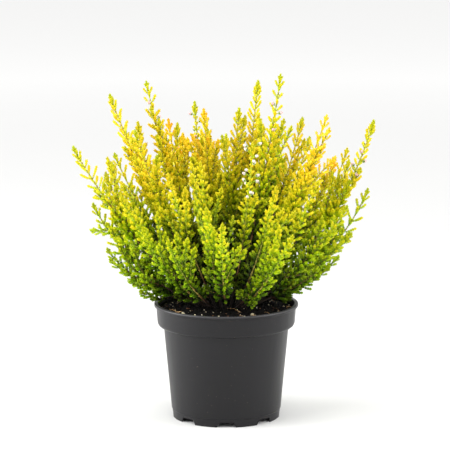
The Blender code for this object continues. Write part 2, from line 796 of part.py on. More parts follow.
def main():
    clear_scene()
    plant = new_collection("potted_heather")
    pot_cutters = new_collection("pot_cutters", hidden=True)
    peat_cutters = new_collection("peat_cutters", hidden=True)
    pieces = new_collection("stem_pieces", hidden=True)
    plastic = new_material("pot_plastic", PLASTIC_COLOUR, PLASTIC_ROUGHNESS)
    peat_brown = new_material("peat", PEAT_COLOUR, PEAT_ROUGHNESS)
    foliage = {}
    for tone, colour in FOLIAGE_COLOURS.items():
        foliage[tone] = new_material("foliage_" + tone, colour, FOLIAGE_ROUGHNESS)

    rows, bases, lines = make_lines()
    finish_surface(make_pot(plant, pot_cutters), plastic)
    finish_surface(make_peat(plant, peat_cutters, bases), peat_brown)
    club = club_mesh("club")
    placed = place_shoots(rows, lines)
    for stem, (name, tip, _, _) in enumerate(rows):
        own = [(number, line) for number, line in enumerate(lines) if line.stem == stem]
        stalk = make_stem("stem_" + name, own, placed[stem], club, plant, pieces)
        finish_surface(stalk, foliage[foliage_tone(tip)])


main()
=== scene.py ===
import json
import math

import bmesh
import bpy
import numpy as np
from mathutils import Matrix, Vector, noise
from mathutils.kdtree import KDTree

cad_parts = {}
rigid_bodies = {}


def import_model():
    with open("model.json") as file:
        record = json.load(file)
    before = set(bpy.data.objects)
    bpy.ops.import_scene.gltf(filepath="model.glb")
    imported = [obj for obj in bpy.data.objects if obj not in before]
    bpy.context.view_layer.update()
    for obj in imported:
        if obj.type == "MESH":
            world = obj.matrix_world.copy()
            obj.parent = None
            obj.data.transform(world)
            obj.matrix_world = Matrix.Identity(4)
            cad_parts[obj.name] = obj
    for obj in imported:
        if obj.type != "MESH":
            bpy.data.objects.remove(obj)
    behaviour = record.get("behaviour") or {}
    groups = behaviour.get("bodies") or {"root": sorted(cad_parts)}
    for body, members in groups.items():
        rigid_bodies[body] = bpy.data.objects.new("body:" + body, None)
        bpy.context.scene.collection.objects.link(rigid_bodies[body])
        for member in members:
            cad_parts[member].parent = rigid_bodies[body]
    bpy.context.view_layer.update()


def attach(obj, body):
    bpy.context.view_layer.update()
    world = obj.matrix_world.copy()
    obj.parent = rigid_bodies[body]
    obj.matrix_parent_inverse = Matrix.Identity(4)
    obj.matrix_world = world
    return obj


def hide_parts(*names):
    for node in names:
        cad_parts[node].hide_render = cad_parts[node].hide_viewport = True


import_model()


# The pot: a 12 cm nursery pot, injection-moulded in dark grey polypropylene. It has a thin
# lip, a deep collar that stacks on the next pot, a tapered wall, and a foot with eight
# notches, one of them at the front, and a drain hole behind each notch.
POT_SEGMENTS = 192
POT_HEIGHT = 0.096
POT_WALL = 0.0012
LIP_RADIUS = 0.0600
LIP_HEIGHT = 0.0024
LIP_ROUND = 0.0004
COLLAR_TOP_RADIUS = 0.0582
COLLAR_FOOT_RADIUS = 0.0571
COLLAR_FOOT = 0.0775
COLLAR_ROUND = 0.0035
WALL_TOP_RADIUS = 0.0522
WALL_FOOT_RADIUS = 0.0457
FOOT_HEIGHT = 0.007
FOOT_RADIUS = 0.0448
PLATE_BOTTOM = 0.0050
PLATE_TOP = 0.0064
NOTCHES = 8
NOTCH_TOP_WIDTH = 0.012
NOTCH_FOOT_WIDTH = 0.017
NOTCH_HEIGHT = 0.0042
NOTCH_DEPTH = 6 * POT_WALL
DRAIN_RADIUS = 0.0040
DRAIN_RING = 0.034
DRAIN_CUT = 4 * (PLATE_TOP - PLATE_BOTTOM)
DRAIN_SEGMENTS = 32
FIT_GAP = 0.0003
EDGE_ROUND = 0.0004
EDGE_STEPS = 4
NEARLY_HALF = 0.49
SMOOTH_ANGLE = math.radians(35.0)
POT_ROUGHNESS = (0.33, 0.43)
FLOW_STRETCH = (90.0, 90.0, 9.0)
SCRATCH_STRETCH = (60.0, 60.0, 900.0)
# A painted highlight along the lip's top edge: how far below the top its lighter band starts and is
# full, and how strong it is.
LIP_HIGHLIGHT_BELOW = (0.0014, 0.0003)
LIP_HIGHLIGHT_SHARE = 0.55
SCUFF_SHARE = 0.35
SPECK_SHARE = 0.50
DUST_SHARE = 0.30


def paint(red, green, blue):
    """A paint-chart colour, 0 to 255 a channel, as the linear colour that a shader takes."""
    linear = []
    for channel in (red, green, blue):
        share = channel / 255
        linear.append(share / 12.92 if share < 0.04045 else ((share + 0.055) / 1.055) ** 2.4)
    return (*linear, 1.0)


def feed(tree, node, sockets):
    """Sets a node's inputs, or links them to the outputs that are given."""
    for socket, value in dict(sockets).items():
        if isinstance(value, bpy.types.NodeSocket):
            tree.links.new(value, node.inputs[socket])
        else:
            node.inputs[socket].default_value = value
    return node


def shader_node(tree, kind, sockets=(), **settings):
    """A shader node with its settings made and its inputs fed."""
    made = tree.nodes.new("ShaderNode" + kind)
    for name, value in settings.items():
        setattr(made, name, value)
    return feed(tree, made, sockets)


def blended(tree, share, first, second):
    """The colour that lies between two colours, at a share of the way."""
    # A Mix node has sockets of the same names for numbers, so these go by their places.
    mix = shader_node(tree, "Mix", data_type="RGBA")
    return feed(tree, mix, {0: share, 6: first, 7: second}).outputs[2]


def combined(tree, how, first, second):
    """Two values added (ADD) or multiplied (MULTIPLY)."""
    return shader_node(tree, "Math", {0: first, 1: second}, operation=how).outputs[0]


def bumped(tree, height, strength, distance, under=()):
    """The normal of a bump in the surface, laid on another bump if one is given."""
    sockets = {"Height": height, "Strength": strength, "Distance": distance, **dict(under)}
    return shader_node(tree, "Bump", sockets).outputs["Normal"]


def graded(tree, value, stops):
    """A colour ramp over (place, colour) stops."""
    made = shader_node(tree, "ValToRGB", {"Fac": value})
    elements = made.color_ramp.elements
    for element, (place, colour) in zip(elements, (stops[0], stops[-1])):
        element.position = place
        element.color = colour
    for place, colour in stops[1:-1]:
        elements.new(place).color = colour
    return made.outputs["Color"]


def ranged(tree, value, low, high, start=0.0, end=1.0):
    """A value moved from one range to another, and kept in it."""
    sockets = {"Value": value, "From Min": low, "From Max": high, "To Min": start, "To Max": end}
    return shader_node(tree, "MapRange", sockets).outputs["Result"]


SPECKLE_INPUTS = ("Place", "Scale", "Detail", "Roughness", "From Low", "From High",
                  "To Low", "To High")


def speckle_group():
    """The speckle in all these finishes: a cloudy noise, as it is and moved to a range."""
    group = bpy.data.node_groups.new("speckle", "ShaderNodeTree")
    for name in SPECKLE_INPUTS:
        kind = "NodeSocketVector" if name == "Place" else "NodeSocketFloat"
        group.interface.new_socket(name, in_out="INPUT", socket_type=kind)
    for name in ("Cloud", "Level"):
        group.interface.new_socket(name, in_out="OUTPUT", socket_type="NodeSocketFloat")
    given = group.nodes.new("NodeGroupInput").outputs
    sockets = {name: given[name] for name in ("Scale", "Detail", "Roughness")}
    cloud = shader_node(group, "TexNoise", {"Vector": given["Place"], **sockets}).outputs["Fac"]
    level = ranged(group, cloud, *[given[name] for name in SPECKLE_INPUTS[4:]])
    feed(group, group.nodes.new("NodeGroupOutput"), {"Cloud": cloud, "Level": level})
    return group


SPECKLE = speckle_group()


def speckle(tree, place, scale, detail=3.0, rough=0.55, span=(0.0, 1.0), level=(0.0, 1.0)):
    """The outputs of a speckle placed in a finish, with that many grains a metre."""
    sockets = zip(SPECKLE_INPUTS, (place, scale, detail, rough, *span, *level))
    return shader_node(tree, "Group", sockets, node_tree=SPECKLE).outputs


def new_finish(name):
    """An empty material, its Principled shader, and where a point of the piece lies."""
    finish = bpy.data.materials.new(name)
    finish.use_nodes = True
    tree = finish.node_tree
    place = shader_node(tree, "TexCoord").outputs["Object"]
    return finish, tree, tree.nodes["Principled BSDF"], place


def stretched(tree, place, scales):
    """The place with each axis scaled, which draws a speckle out into streaks."""
    return shader_node(tree, "Mapping", {"Vector": place, "Scale": scales}).outputs["Vector"]


def pot_plastic():
    """Satin plastic with a fine moulded grain, faint flow marks, scuffs, peat dust, and a
    painted highlight: a lighter band along the top of the lip.
    """
    finish, tree, shader, place = new_finish("pot_plastic_fine")
    clouds = speckle(tree, place, 28.0)["Cloud"]
    grain = speckle(tree, place, 2600.0, 2.0)["Cloud"]
    flow = speckle(tree, stretched(tree, place, FLOW_STRETCH), 1.0, 4.0,
                   span=(0.35, 0.65), level=POT_ROUGHNESS)
    scuffs = speckle(tree, stretched(tree, place, SCRATCH_STRETCH), 1.0, 6.0, 0.7,
                     span=(0.66, 0.74), level=(0.0, SCUFF_SHARE))["Level"]
    specks = speckle(tree, place, 650.0, 1.0, span=(0.77, 0.80), level=(0.0, SPECK_SHARE))["Level"]
    spots = speckle(tree, place, 420.0, 5.0, 0.7, span=(0.60, 0.70))["Level"]
    heights = shader_node(tree, "SeparateXYZ", {"Vector": place}).outputs["Z"]
    dusty = ranged(tree, heights, COLLAR_FOOT, POT_HEIGHT)
    dust = combined(tree, "MULTIPLY", combined(tree, "MULTIPLY", dusty, spots), DUST_SHARE)
    # Painted highlight: the top of the lip is mixed towards a lighter grey, the light line that its
    # rounded edge catches.
    painted_lip_highlight = ranged(tree, heights, *[POT_HEIGHT - below for below in LIP_HIGHLIGHT_BELOW], 0.0, LIP_HIGHLIGHT_SHARE)
    colour = blended(tree, clouds, paint(15, 14, 17), paint(19, 18, 21))
    for share, laid_on in ((scuffs, paint(62, 61, 64)), (painted_lip_highlight, paint(84, 83, 86)),
                           (dust, paint(78, 62, 50)), (specks, paint(120, 104, 92))):
        colour = blended(tree, share, colour, laid_on)
    moulded = bumped(tree, grain, 0.10, 0.0002)
    waves = bumped(tree, flow["Cloud"], 0.25, 0.0006, {"Normal": moulded})
    feed(tree, shader, {"Base Color": colour, "Roughness": flow["Level"],
                        "Specular IOR Level": 0.32, "Normal": waves})
    return finish


def mesh_object(name, points, faces):
    """A mesh object in the scene, made of arrays or lists of points and faces."""
    mesh = bpy.data.meshes.new(name)
    points, faces = [rows.tolist() if isinstance(rows, np.ndarray) else rows
                     for rows in (points, faces)]
    mesh.from_pydata(points, [], faces)
    item = bpy.data.objects.new(name, mesh)
    bpy.context.scene.collection.objects.link(item)
    return item


def softened(corners):
    """An outline of (radius, height, corner size), with each corner turned into a curve."""
    points = [np.array(corners[0][:2])]
    for before, corner, after in zip(corners, corners[1:], corners[2:]):
        here = np.array(corner[:2])
        arms = [np.array(other[:2]) - here for other in (before, after)]
        reach = [min(corner[2], np.linalg.norm(arm) * NEARLY_HALF) for arm in arms]
        first, last = [here + arm / np.linalg.norm(arm) * far for arm, far in zip(arms, reach)]
        for share in np.linspace(0.0, 1.0, EDGE_STEPS + 1):
            points.append((1 - share) ** 2 * first + 2 * share * (1 - share) * here
                          + share ** 2 * last)
    points.append(np.array(corners[-1][:2]))
    return points


def turned(name, outline, segments):
    """A closed shape turned from an outline that starts and ends on the axis."""
    angles = np.arange(segments) / segments * math.tau
    rings = [(r * math.cos(a), r * math.sin(a), z) for r, z in outline[1:-1] for a in angles]
    points = [(0.0, 0.0, outline[0][1])] + rings + [(0.0, 0.0, outline[-1][1])]
    faces = []
    last = len(points) - 1
    rows = len(outline) - 2
    for i in range(segments):
        j = (i + 1) % segments
        faces.append((0, 1 + i, 1 + j))
        for row in range(rows - 1):
            start = 1 + row * segments
            faces.append((start + i, start + segments + i, start + segments + j, start + j))
        start = 1 + (rows - 1) * segments
        faces.append((start + i, last, start + j))
    return mesh_object(name, points, faces)


def wall_radius(height):
    """The outer radius of the pot's tapered wall."""
    rise = (height - FOOT_HEIGHT) / (COLLAR_FOOT - FOOT_HEIGHT)
    return WALL_FOOT_RADIUS + rise * (WALL_TOP_RADIUS - WALL_FOOT_RADIUS)


def pot_inside():
    """The pot's inner corners, from the base plate up to the lip."""
    step = COLLAR_FOOT + POT_WALL
    return [
        (FOOT_RADIUS - POT_WALL, PLATE_TOP),
        (wall_radius(COLLAR_FOOT) - POT_WALL, step),
        (COLLAR_FOOT_RADIUS - POT_WALL, step + COLLAR_ROUND),
        (COLLAR_TOP_RADIUS - POT_WALL, POT_HEIGHT),
    ]


def cutter(name, shape, place, angle):
    """A hidden tool of a bmesh shape, turned about the pot's axis, for one cut."""
    mesh = bpy.data.meshes.new(name)
    shape.to_mesh(mesh)
    shape.free()
    tool = bpy.data.objects.new(name, mesh)
    tool.location = place
    tool.rotation_euler = (0.0, 0.0, angle)
    return tool


def cut_notches_and_drains(pot):
    """Cuts a flared notch through the foot, and a drain hole, at each of eight places."""
    tools = bpy.data.collections.new("pot_tools")
    bpy.context.scene.collection.children.link(tools)
    for i in range(NOTCHES):
        angle = math.tau * i / NOTCHES - math.pi / 2
        out = Vector((math.cos(angle), math.sin(angle), 0.0))
        notch = bmesh.new()
        bmesh.ops.create_cube(notch, size=1.0)
        for point in notch.verts:
            top = point.co.z > 0
            width = NOTCH_TOP_WIDTH if top else NOTCH_FOOT_WIDTH
            point.co = (point.co.x * NOTCH_DEPTH, point.co.y * width,
                        NOTCH_HEIGHT if top else -POT_WALL)
        tools.objects.link(cutter("notch", notch, out * (FOOT_RADIUS - POT_WALL / 2), angle))
        drain = bmesh.new()
        bmesh.ops.create_cone(drain, cap_ends=True, segments=DRAIN_SEGMENTS, depth=DRAIN_CUT,
                              radius1=DRAIN_RADIUS, radius2=DRAIN_RADIUS)
        middle = Vector((0.0, 0.0, (PLATE_TOP + PLATE_BOTTOM) / 2))
        tools.objects.link(cutter("drain", drain, out * DRAIN_RING + middle, angle))
    cut = pot.modifiers.new("cut", "BOOLEAN")
    cut.operand_type = "COLLECTION"
    cut.collection = tools
    bpy.context.view_layer.update()
    graph = bpy.context.evaluated_depsgraph_get()
    mesh = bpy.data.meshes.new_from_object(pot.evaluated_get(graph))
    pot.modifiers.clear()
    pot.data = mesh
    for tool in list(tools.objects):
        bpy.data.objects.remove(tool, do_unlink=True)
    bpy.data.collections.remove(tools)


def moulded_pot():
    """The wall, collar, lip and base plate, with every edge softened as the mould leaves it."""
    lip_foot = POT_HEIGHT - LIP_HEIGHT
    foot, step, collar, lip = pot_inside()
    corners = [
        (0.0, PLATE_TOP, 0.0),
        (*foot, 2 * EDGE_ROUND),
        (*step, 2 * EDGE_ROUND),
        (*collar, COLLAR_ROUND / 2),
        (*lip, EDGE_ROUND),
        (LIP_RADIUS, POT_HEIGHT, 2 * EDGE_ROUND),
        (LIP_RADIUS, lip_foot, 2 * EDGE_ROUND),
        (COLLAR_TOP_RADIUS, lip_foot - LIP_ROUND, EDGE_ROUND),
        (COLLAR_FOOT_RADIUS, COLLAR_FOOT, COLLAR_ROUND),
        (wall_radius(COLLAR_FOOT), COLLAR_FOOT - FIT_GAP, EDGE_ROUND),
        (WALL_FOOT_RADIUS, FOOT_HEIGHT, EDGE_ROUND),
        (FOOT_RADIUS + FIT_GAP, FOOT_HEIGHT - FIT_GAP, EDGE_ROUND),
        (FOOT_RADIUS, 0.0, EDGE_ROUND / 2),
        (FOOT_RADIUS - POT_WALL, 0.0, EDGE_ROUND / 2),
        (FOOT_RADIUS - POT_WALL, PLATE_BOTTOM, EDGE_ROUND),
        (0.0, PLATE_BOTTOM, 0.0),
    ]
    pot = turned("nursery_pot", softened(corners), POT_SEGMENTS)
    cut_notches_and_drains(pot)
    pot.data.shade_smooth()
    pot.data.set_sharp_from_angle(angle=SMOOTH_ANGLE)
    pot.data.materials.clear()
    pot.data.materials.append(pot_plastic())
    return pot


pot = moulded_pot()
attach(pot, "root")
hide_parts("pot")


# The peat: black potting peat that fills the pot and is mounded round the crown. Its top is
# a bed of crumbs, with loose crumbs, cream grit, bark chips, straw and fine roots on it.
PEAT_EDGE_HEIGHT = 0.0908
PEAT_TOP_HEIGHT = 0.0934
PEAT_FLAT_RADIUS = 0.029
PEAT_RINGS = 76
PEAT_SEGMENTS = 168
PEAT_SWELL = 0.0011
SWELLS_A_METRE = 70
SWELL_LAYER = 0.3
PEAT_CRUMB = 0.0008
CRUMBS_A_METRE = 420
CRUMB_LAYER = 0.7
CRUMB_FRACTAL = (0.8, 2.1, 3)
CRUMBS = 1500
CRUMB_SIZES = (0.0003, 0.0011)
CRUMB_POWER = 2.5
CRUMB_SEED = 21
LUMP_STRETCH = (0.6, 1.25)
LUMP_RISE = 0.35
CLINGING_CRUMBS = 70
CLINGING_SIZE = 0.6


def peat_black():
    """Damp black peat with brown fibres showing through."""
    finish, tree, shader, place = new_finish("peat_black")
    blots = speckle(tree, place, 260.0, 6.0, 0.7, span=(0.3, 0.7), level=(0.62, 0.95))
    grains = speckle(tree, place, 1500.0, 3.0, 0.7)["Cloud"]
    colour = graded(tree, blots["Cloud"], [
        (0.34, paint(5, 4, 4)), (0.54, paint(13, 11, 9)), (0.68, paint(28, 22, 17)),
        (0.80, paint(58, 44, 31)),
    ])
    feed(tree, shader, {"Base Color": colour, "Roughness": blots["Level"],
                        "Specular IOR Level": 0.15, "Normal": bumped(tree, grains, 0.8, 0.0006)})
    return finish


def peat_edge_radius():
    """How far out the peat reaches, just inside the pot's wall."""
    _, _, collar, lip = pot_inside()
    share = (PEAT_EDGE_HEIGHT - collar[1]) / (lip[1] - collar[1])
    return collar[0] + share * (lip[0] - collar[0]) - FIT_GAP


def peat_height(x, y):
    """The height of the peat's top: a low mound, its swells, and its crumbs."""
    mound = np.interp(math.hypot(x, y), (PEAT_FLAT_RADIUS, peat_edge_radius()),
                      (PEAT_TOP_HEIGHT, PEAT_EDGE_HEIGHT))
    swell = noise.noise(Vector((x, y, SWELL_LAYER)) * SWELLS_A_METRE) * PEAT_SWELL
    crumb = noise.fractal(Vector((x, y, CRUMB_LAYER)) * CRUMBS_A_METRE, *CRUMB_FRACTAL)
    return mound + swell + crumb * PEAT_CRUMB


def peat_bed():
    """The bed: a crumbly top, and the sides and the underside that the pot hides."""
    foot, step, collar, _ = pot_inside()
    edge = peat_edge_radius()
    floor = foot[1] + 2 * FIT_GAP
    outline = [(0.0, PEAT_TOP_HEIGHT)]
    outline += [(edge * ring / PEAT_RINGS, PEAT_TOP_HEIGHT) for ring in range(1, PEAT_RINGS + 1)]
    outline += [(radius - FIT_GAP, height) for radius, height in (collar, step)]
    outline += [(foot[0] - FIT_GAP, floor), (0.0, floor)]
    bed = turned("peat_bed", outline, PEAT_SEGMENTS)
    for point in bed.data.vertices[:1 + PEAT_RINGS * PEAT_SEGMENTS]:
        point.co.z = peat_height(point.co.x, point.co.y)
    bed.data.shade_smooth()
    return bed


def lump_mesh(points, faces, places, sizes, draws, flatness=0.25):
    """One mesh of many lumps, each a jittered, turned and stretched copy of a small shape."""
    count, corners = len(places), len(points)
    jitter = draws.uniform(1 - flatness, 1 + flatness, (count, corners, 1))
    stretch = draws.uniform(*LUMP_STRETCH, (count, 1, 3))
    turns = draws.uniform(0.0, math.tau, count)
    cos, sin = np.cos(turns)[:, None], np.sin(turns)[:, None]
    shapes = points[None] * jitter * stretch * sizes[:, None, None]
    x, y = shapes[..., 0].copy(), shapes[..., 1].copy()
    shapes[..., 0] = x * cos - y * sin
    shapes[..., 1] = x * sin + y * cos
    shapes += places[:, None]
    shifts = np.arange(count)[:, None, None] * corners
    return shapes.reshape(-1, 3), (faces[None] + shifts).reshape(-1, 3)


def ball(detail):
    """The points and triangles of an icosphere of radius 1."""
    shape = bmesh.new()
    bmesh.ops.create_icosphere(shape, subdivisions=detail, radius=1.0)
    points = np.array([point.co[:] for point in shape.verts])
    faces = np.array([[point.index for point in face.verts] for face in shape.faces])
    shape.free()
    return points, faces


def scattered(draws, count, sizes, power, inner=0.0):
    """Places on the peat, half sunk in it, and a size for each, small ones the commonest."""
    reach = peat_edge_radius() - sizes[1]
    radii = np.sqrt(draws.uniform((inner / reach) ** 2, 1.0, count)) * reach
    angles = draws.uniform(0.0, math.tau, count)
    big = sizes[0] + (sizes[1] - sizes[0]) * draws.uniform(0.0, 1.0, count) ** power
    x, y = radii * np.cos(angles), radii * np.sin(angles)
    z = np.array([peat_height(*spot) for spot in zip(x, y)]) + big * LUMP_RISE
    return np.column_stack([x, y, z]), big


def loose_crumbs():
    """Crumbs on the bed, and a few that cling to the lip and to the pot's inside."""
    draws = np.random.default_rng(CRUMB_SEED)
    places, sizes = scattered(draws, CRUMBS, CRUMB_SIZES, CRUMB_POWER)
    angles = draws.uniform(0.0, math.tau, CLINGING_CRUMBS)
    heights = draws.uniform(PEAT_EDGE_HEIGHT, POT_HEIGHT, CLINGING_CRUMBS)
    _, _, collar, lip = pot_inside()
    radii = np.interp(heights, (collar[1], lip[1]), (collar[0], lip[0]))
    clinging = np.column_stack([radii * np.cos(angles), radii * np.sin(angles), heights])
    small = draws.uniform(*CRUMB_SIZES, CLINGING_CRUMBS) * CLINGING_SIZE
    places = np.concatenate([places, clinging])
    sizes = np.concatenate([sizes, small])
    return mesh_object("peat_crumbs", *lump_mesh(*ball(1), places, sizes, draws))


bed = peat_bed()
bed.data.materials.append(peat_black())
crumbs = loose_crumbs()
crumbs.data.materials.append(bed.data.materials[0])
for piece in (bed, crumbs):
    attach(piece, "root")
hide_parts("peat")


# The grit and the bark: cream and grey stones of 1 to 3 mm, and flat chips of brown bark,
# that were mixed into the peat. The larger stones lie near the front of the lip.
GRIT_COUNT = 70
GRIT_SIZES = (0.0003, 0.0009)
FRONT_GRIT = [
    (-0.0355, -0.0330, 0.0014), (-0.0255, -0.0400, 0.0015), (-0.0100, -0.0440, 0.0011),
    (-0.0060, -0.0420, 0.0012), (0.0150, -0.0445, 0.0017), (0.0215, -0.0330, 0.0015),
    (0.0260, -0.0440, 0.0014), (-0.0140, -0.0490, 0.0010), (0.0480, 0.0020, 0.0013),
    (-0.0210, -0.0470, 0.0012), (0.0055, -0.0500, 0.0009),
]
GRIT_POWER = 1.6
GRIT_INNER = 0.02
GRIT_JITTER = 0.10
GRIT_SEED = 31
FRONT_GRIT_RISE = 0.4
BARK_COUNT = 60
BARK_SIZES = (0.0007, 0.0021)
BARK_POWER = 1.4
BARK_INNER = 0.015
BARK_JITTER = 0.2
BARK_SEED = 32
BARK_SHAPE = (1.0, 0.6, 0.35)


def mottled(name, stops, scale, roughness, bump):
    """A dull natural finish whose colour wanders between the stops."""
    finish, tree, shader, place = new_finish(name)
    clouds = speckle(tree, place, scale, 5.0, 0.65)["Cloud"]
    fine = speckle(tree, place, scale * 6)["Cloud"]
    feed(tree, shader, {"Base Color": graded(tree, clouds, stops), "Roughness": roughness,
                        "Normal": bumped(tree, fine, bump, 0.0003)})
    return finish


grit_draws = np.random.default_rng(GRIT_SEED)
places, sizes = scattered(grit_draws, GRIT_COUNT, GRIT_SIZES, GRIT_POWER, GRIT_INNER)
front_places = [(x, y, peat_height(x, y) + size * FRONT_GRIT_RISE) for x, y, size in FRONT_GRIT]
places = np.concatenate([places, front_places])
sizes = np.concatenate([sizes, [size for _, _, size in FRONT_GRIT]])
grit = mesh_object("grit", *lump_mesh(*ball(2), places, sizes, grit_draws, GRIT_JITTER))
grit.data.shade_smooth()
grit.data.materials.append(mottled("grit_cream", [
    (0.30, paint(128, 118, 96)), (0.45, paint(196, 180, 142)), (0.62, paint(222, 212, 186)),
    (0.80, paint(240, 236, 222)),
], 190.0, 0.75, 0.5))

bark_draws = np.random.default_rng(BARK_SEED)
places, sizes = scattered(bark_draws, BARK_COUNT, BARK_SIZES, BARK_POWER, BARK_INNER)
chip, chip_faces = ball(1)
bark = mesh_object("bark_chips", *lump_mesh(chip * BARK_SHAPE, chip_faces, places, sizes,
                                            bark_draws, BARK_JITTER))
bark.data.materials.append(mottled("bark_brown", [
    (0.30, paint(46, 30, 20)), (0.50, paint(96, 62, 38)), (0.75, paint(150, 104, 66)),
], 400.0, 0.85, 0.8))
for piece in (grit, bark):
    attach(piece, "root")


# The straw and the fine roots: pale straw bits and brown, wiry root ends, lying on the peat.
# The few that show at the front are listed one by one, and shorter ones lie all round.
STRAW_LINES = [
    [(-0.0468, -0.0110), (-0.0425, -0.0195), (-0.0380, -0.0290)],
    [(0.0010, -0.0150), (0.0060, -0.0220), (0.0120, -0.0290)],
]
ROOT_LINES = [
    [(-0.0560, 0.0040), (-0.0530, 0.0005), (-0.0535, -0.0060), (-0.0500, -0.0110)],
    [(-0.0545, 0.0100), (-0.0500, 0.0030), (-0.0480, -0.0010)],
    [(0.0290, -0.0400), (0.0340, -0.0350), (0.0395, -0.0330), (0.0440, -0.0290)],
    [(0.0430, -0.0300), (0.0440, -0.0200), (0.0420, -0.0120), (0.0380, -0.0060)],
    [(0.0520, -0.0180), (0.0500, -0.0100), (0.0520, -0.0020)],
]
STRAW_RADIUS = 0.00040
ROOT_RADIUS = 0.00027
STRAW_SEED = 41
ROOT_SEED = 42
LITTER_COUNT = 8
LITTER_STEP = 0.0026
LITTER_STEPS = (2, 4)
LITTER_TURN = 0.7
LITTER_REACH = (0.3, 0.93)
LITTER_LIFT = 1.2
LITTER_ARCH = 1.5
LITTER_THICKNESS = (0.5, 1.0)
LITTER_UNEVEN = (0.8, 1.1)
LITTER_SIDES = 6
LINE_END = 1.0001


def smooth_line(points, count):
    """A smooth curve through a few points (Catmull-Rom), as an array of points."""
    # The last place stops just short of the last point, so that it has one after it.
    points = np.array(points, float)
    ends = np.concatenate([[2 * points[0] - points[1]], points, [2 * points[-1] - points[-2]]])
    made = []
    for place in np.linspace(0.0, len(points) - LINE_END, count):
        at = int(place)
        t = place - at
        a, b, c, d = ends[at:at + 4]
        made.append(0.5 * (2 * b + (c - a) * t + (2 * a - 5 * b + 4 * c - d) * t ** 2
                           + (3 * b - a - 3 * c + d) * t ** 3))
    return np.array(made)


def unit_rows(vectors):
    """Each row as a vector of length 1."""
    return vectors / np.linalg.norm(vectors, axis=-1, keepdims=True)


def tube_arrays(points, radii, sides):
    """A round closed tube along points, as arrays of points and triangles."""
    tangents = unit_rows(np.gradient(points, axis=0))
    spare = np.eye(3)[np.argmin(np.abs(tangents).max(axis=0))]
    across = unit_rows(np.cross(tangents, spare))
    third = np.cross(tangents, across)
    angles = (np.arange(sides) / sides * math.tau)[None, :, None]
    ring = np.cos(angles) * across[:, None] + np.sin(angles) * third[:, None]
    rings = points[:, None] + np.reshape(radii, (-1, 1, 1)) * ring
    ends = len(points) * sides
    start, after = np.arange(sides), (np.arange(sides) + 1) % sides
    faces = []
    for row in range(len(points) - 1):
        low, high = row * sides, (row + 1) * sides
        faces.append(np.column_stack([low + start, low + after, high + after]))
        faces.append(np.column_stack([low + start, high + after, high + start]))
    top = ends - sides
    faces.append(np.column_stack([after, start, np.full(sides, ends)]))
    faces.append(np.column_stack([top + start, top + after, np.full(sides, ends + 1)]))
    corners = np.concatenate([rings.reshape(-1, 3), points[:1], points[-1:]])
    return corners, np.concatenate(faces)


def litter(name, lines, radius, seed, finish):
    """Straws or roots that follow the peat, those listed one by one and short ones by rule."""
    draws = np.random.default_rng(seed)
    routes = [smooth_line(line, 5 * len(line)) for line in lines]
    for _ in range(LITTER_COUNT):
        reach = math.sqrt(draws.uniform(*LITTER_REACH)) * peat_edge_radius()
        angle = draws.uniform(0.0, math.tau)
        spot = np.array((math.cos(angle), math.sin(angle))) * reach
        heading = draws.uniform(0.0, math.tau)
        line = [spot]
        for _ in range(draws.integers(*LITTER_STEPS)):
            heading += draws.uniform(-LITTER_TURN, LITTER_TURN)
            line.append(line[-1] + LITTER_STEP * np.array((math.cos(heading), math.sin(heading))))
        route = smooth_line(line, 9)
        if np.linalg.norm(route, axis=1).max() < peat_edge_radius() - 2 * radius:
            routes.append(route)
    points, faces, count = [], [], 0
    for route in routes:
        lift = np.array([peat_height(x, y) for x, y in route]) + radius * LITTER_LIFT
        lift += np.sin(np.linspace(0.0, math.pi, len(route))) * radius * LITTER_ARCH
        radii = radius * draws.uniform(*LITTER_THICKNESS)
        radii = radii * draws.uniform(*LITTER_UNEVEN, len(route))
        corners, skin = tube_arrays(np.column_stack([route, lift]), radii, LITTER_SIDES)
        points.append(corners)
        faces.append(skin + count)
        count += len(corners)
    piece = mesh_object(name, np.concatenate(points), np.concatenate(faces))
    piece.data.shade_smooth()
    piece.data.materials.append(finish)
    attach(piece, "root")


litter("straw", STRAW_LINES, STRAW_RADIUS, STRAW_SEED, mottled("straw_pale", [
    (0.30, paint(116, 84, 50)), (0.55, paint(176, 138, 92)), (0.80, paint(214, 186, 144)),
], 300.0, 0.7, 0.5))
litter("fine_roots", ROOT_LINES, ROOT_RADIUS, ROOT_SEED, mottled("root_brown", [
    (0.30, paint(58, 34, 18)), (0.55, paint(106, 66, 36)), (0.80, paint(150, 104, 62)),
], 300.0, 0.8, 0.5))


# The stems: woody, thinner than a match, dark grey-brown at the peat, where painted shade
# darkens them further, reddish brown further up and pale green at the tips. They fan out
# from the crown, each with side branches, and they keep the middle lines that the solid
# stems have.
STEM_BEND = 0.0940
STEM_FOOT = 0.0850
CROWN_RADIUS = 0.0245
CROWN_POWER = 0.9
BASE_SPACING = 0.0052
SPREAD_MARGIN = 1.02
SPREAD_STEP = 0.4
SPREAD_ROUNDS = 400
STALK_RADIUS = 0.0010
CORE_RADIUS = 0.0016
TIP_RADIUS = 0.0004
BARE_LENGTH = 0.014
CORE_FULL_LENGTH = 0.060
SPEAR_LENGTH = 0.012
SWAY = 0.03
SWAY_SEED = 5
BRANCH_LEAVES_AT = 0.42
BRANCH_HEADING = 0.01
BRANCH_PULL = 0.45
STEM_GAP = 0.0006
PUSH_BEYOND = 0.0004
PUSH_ROUNDS = 160
LINE_SAMPLES = 33
UP = np.array((0.0, 0.0, 1.0))

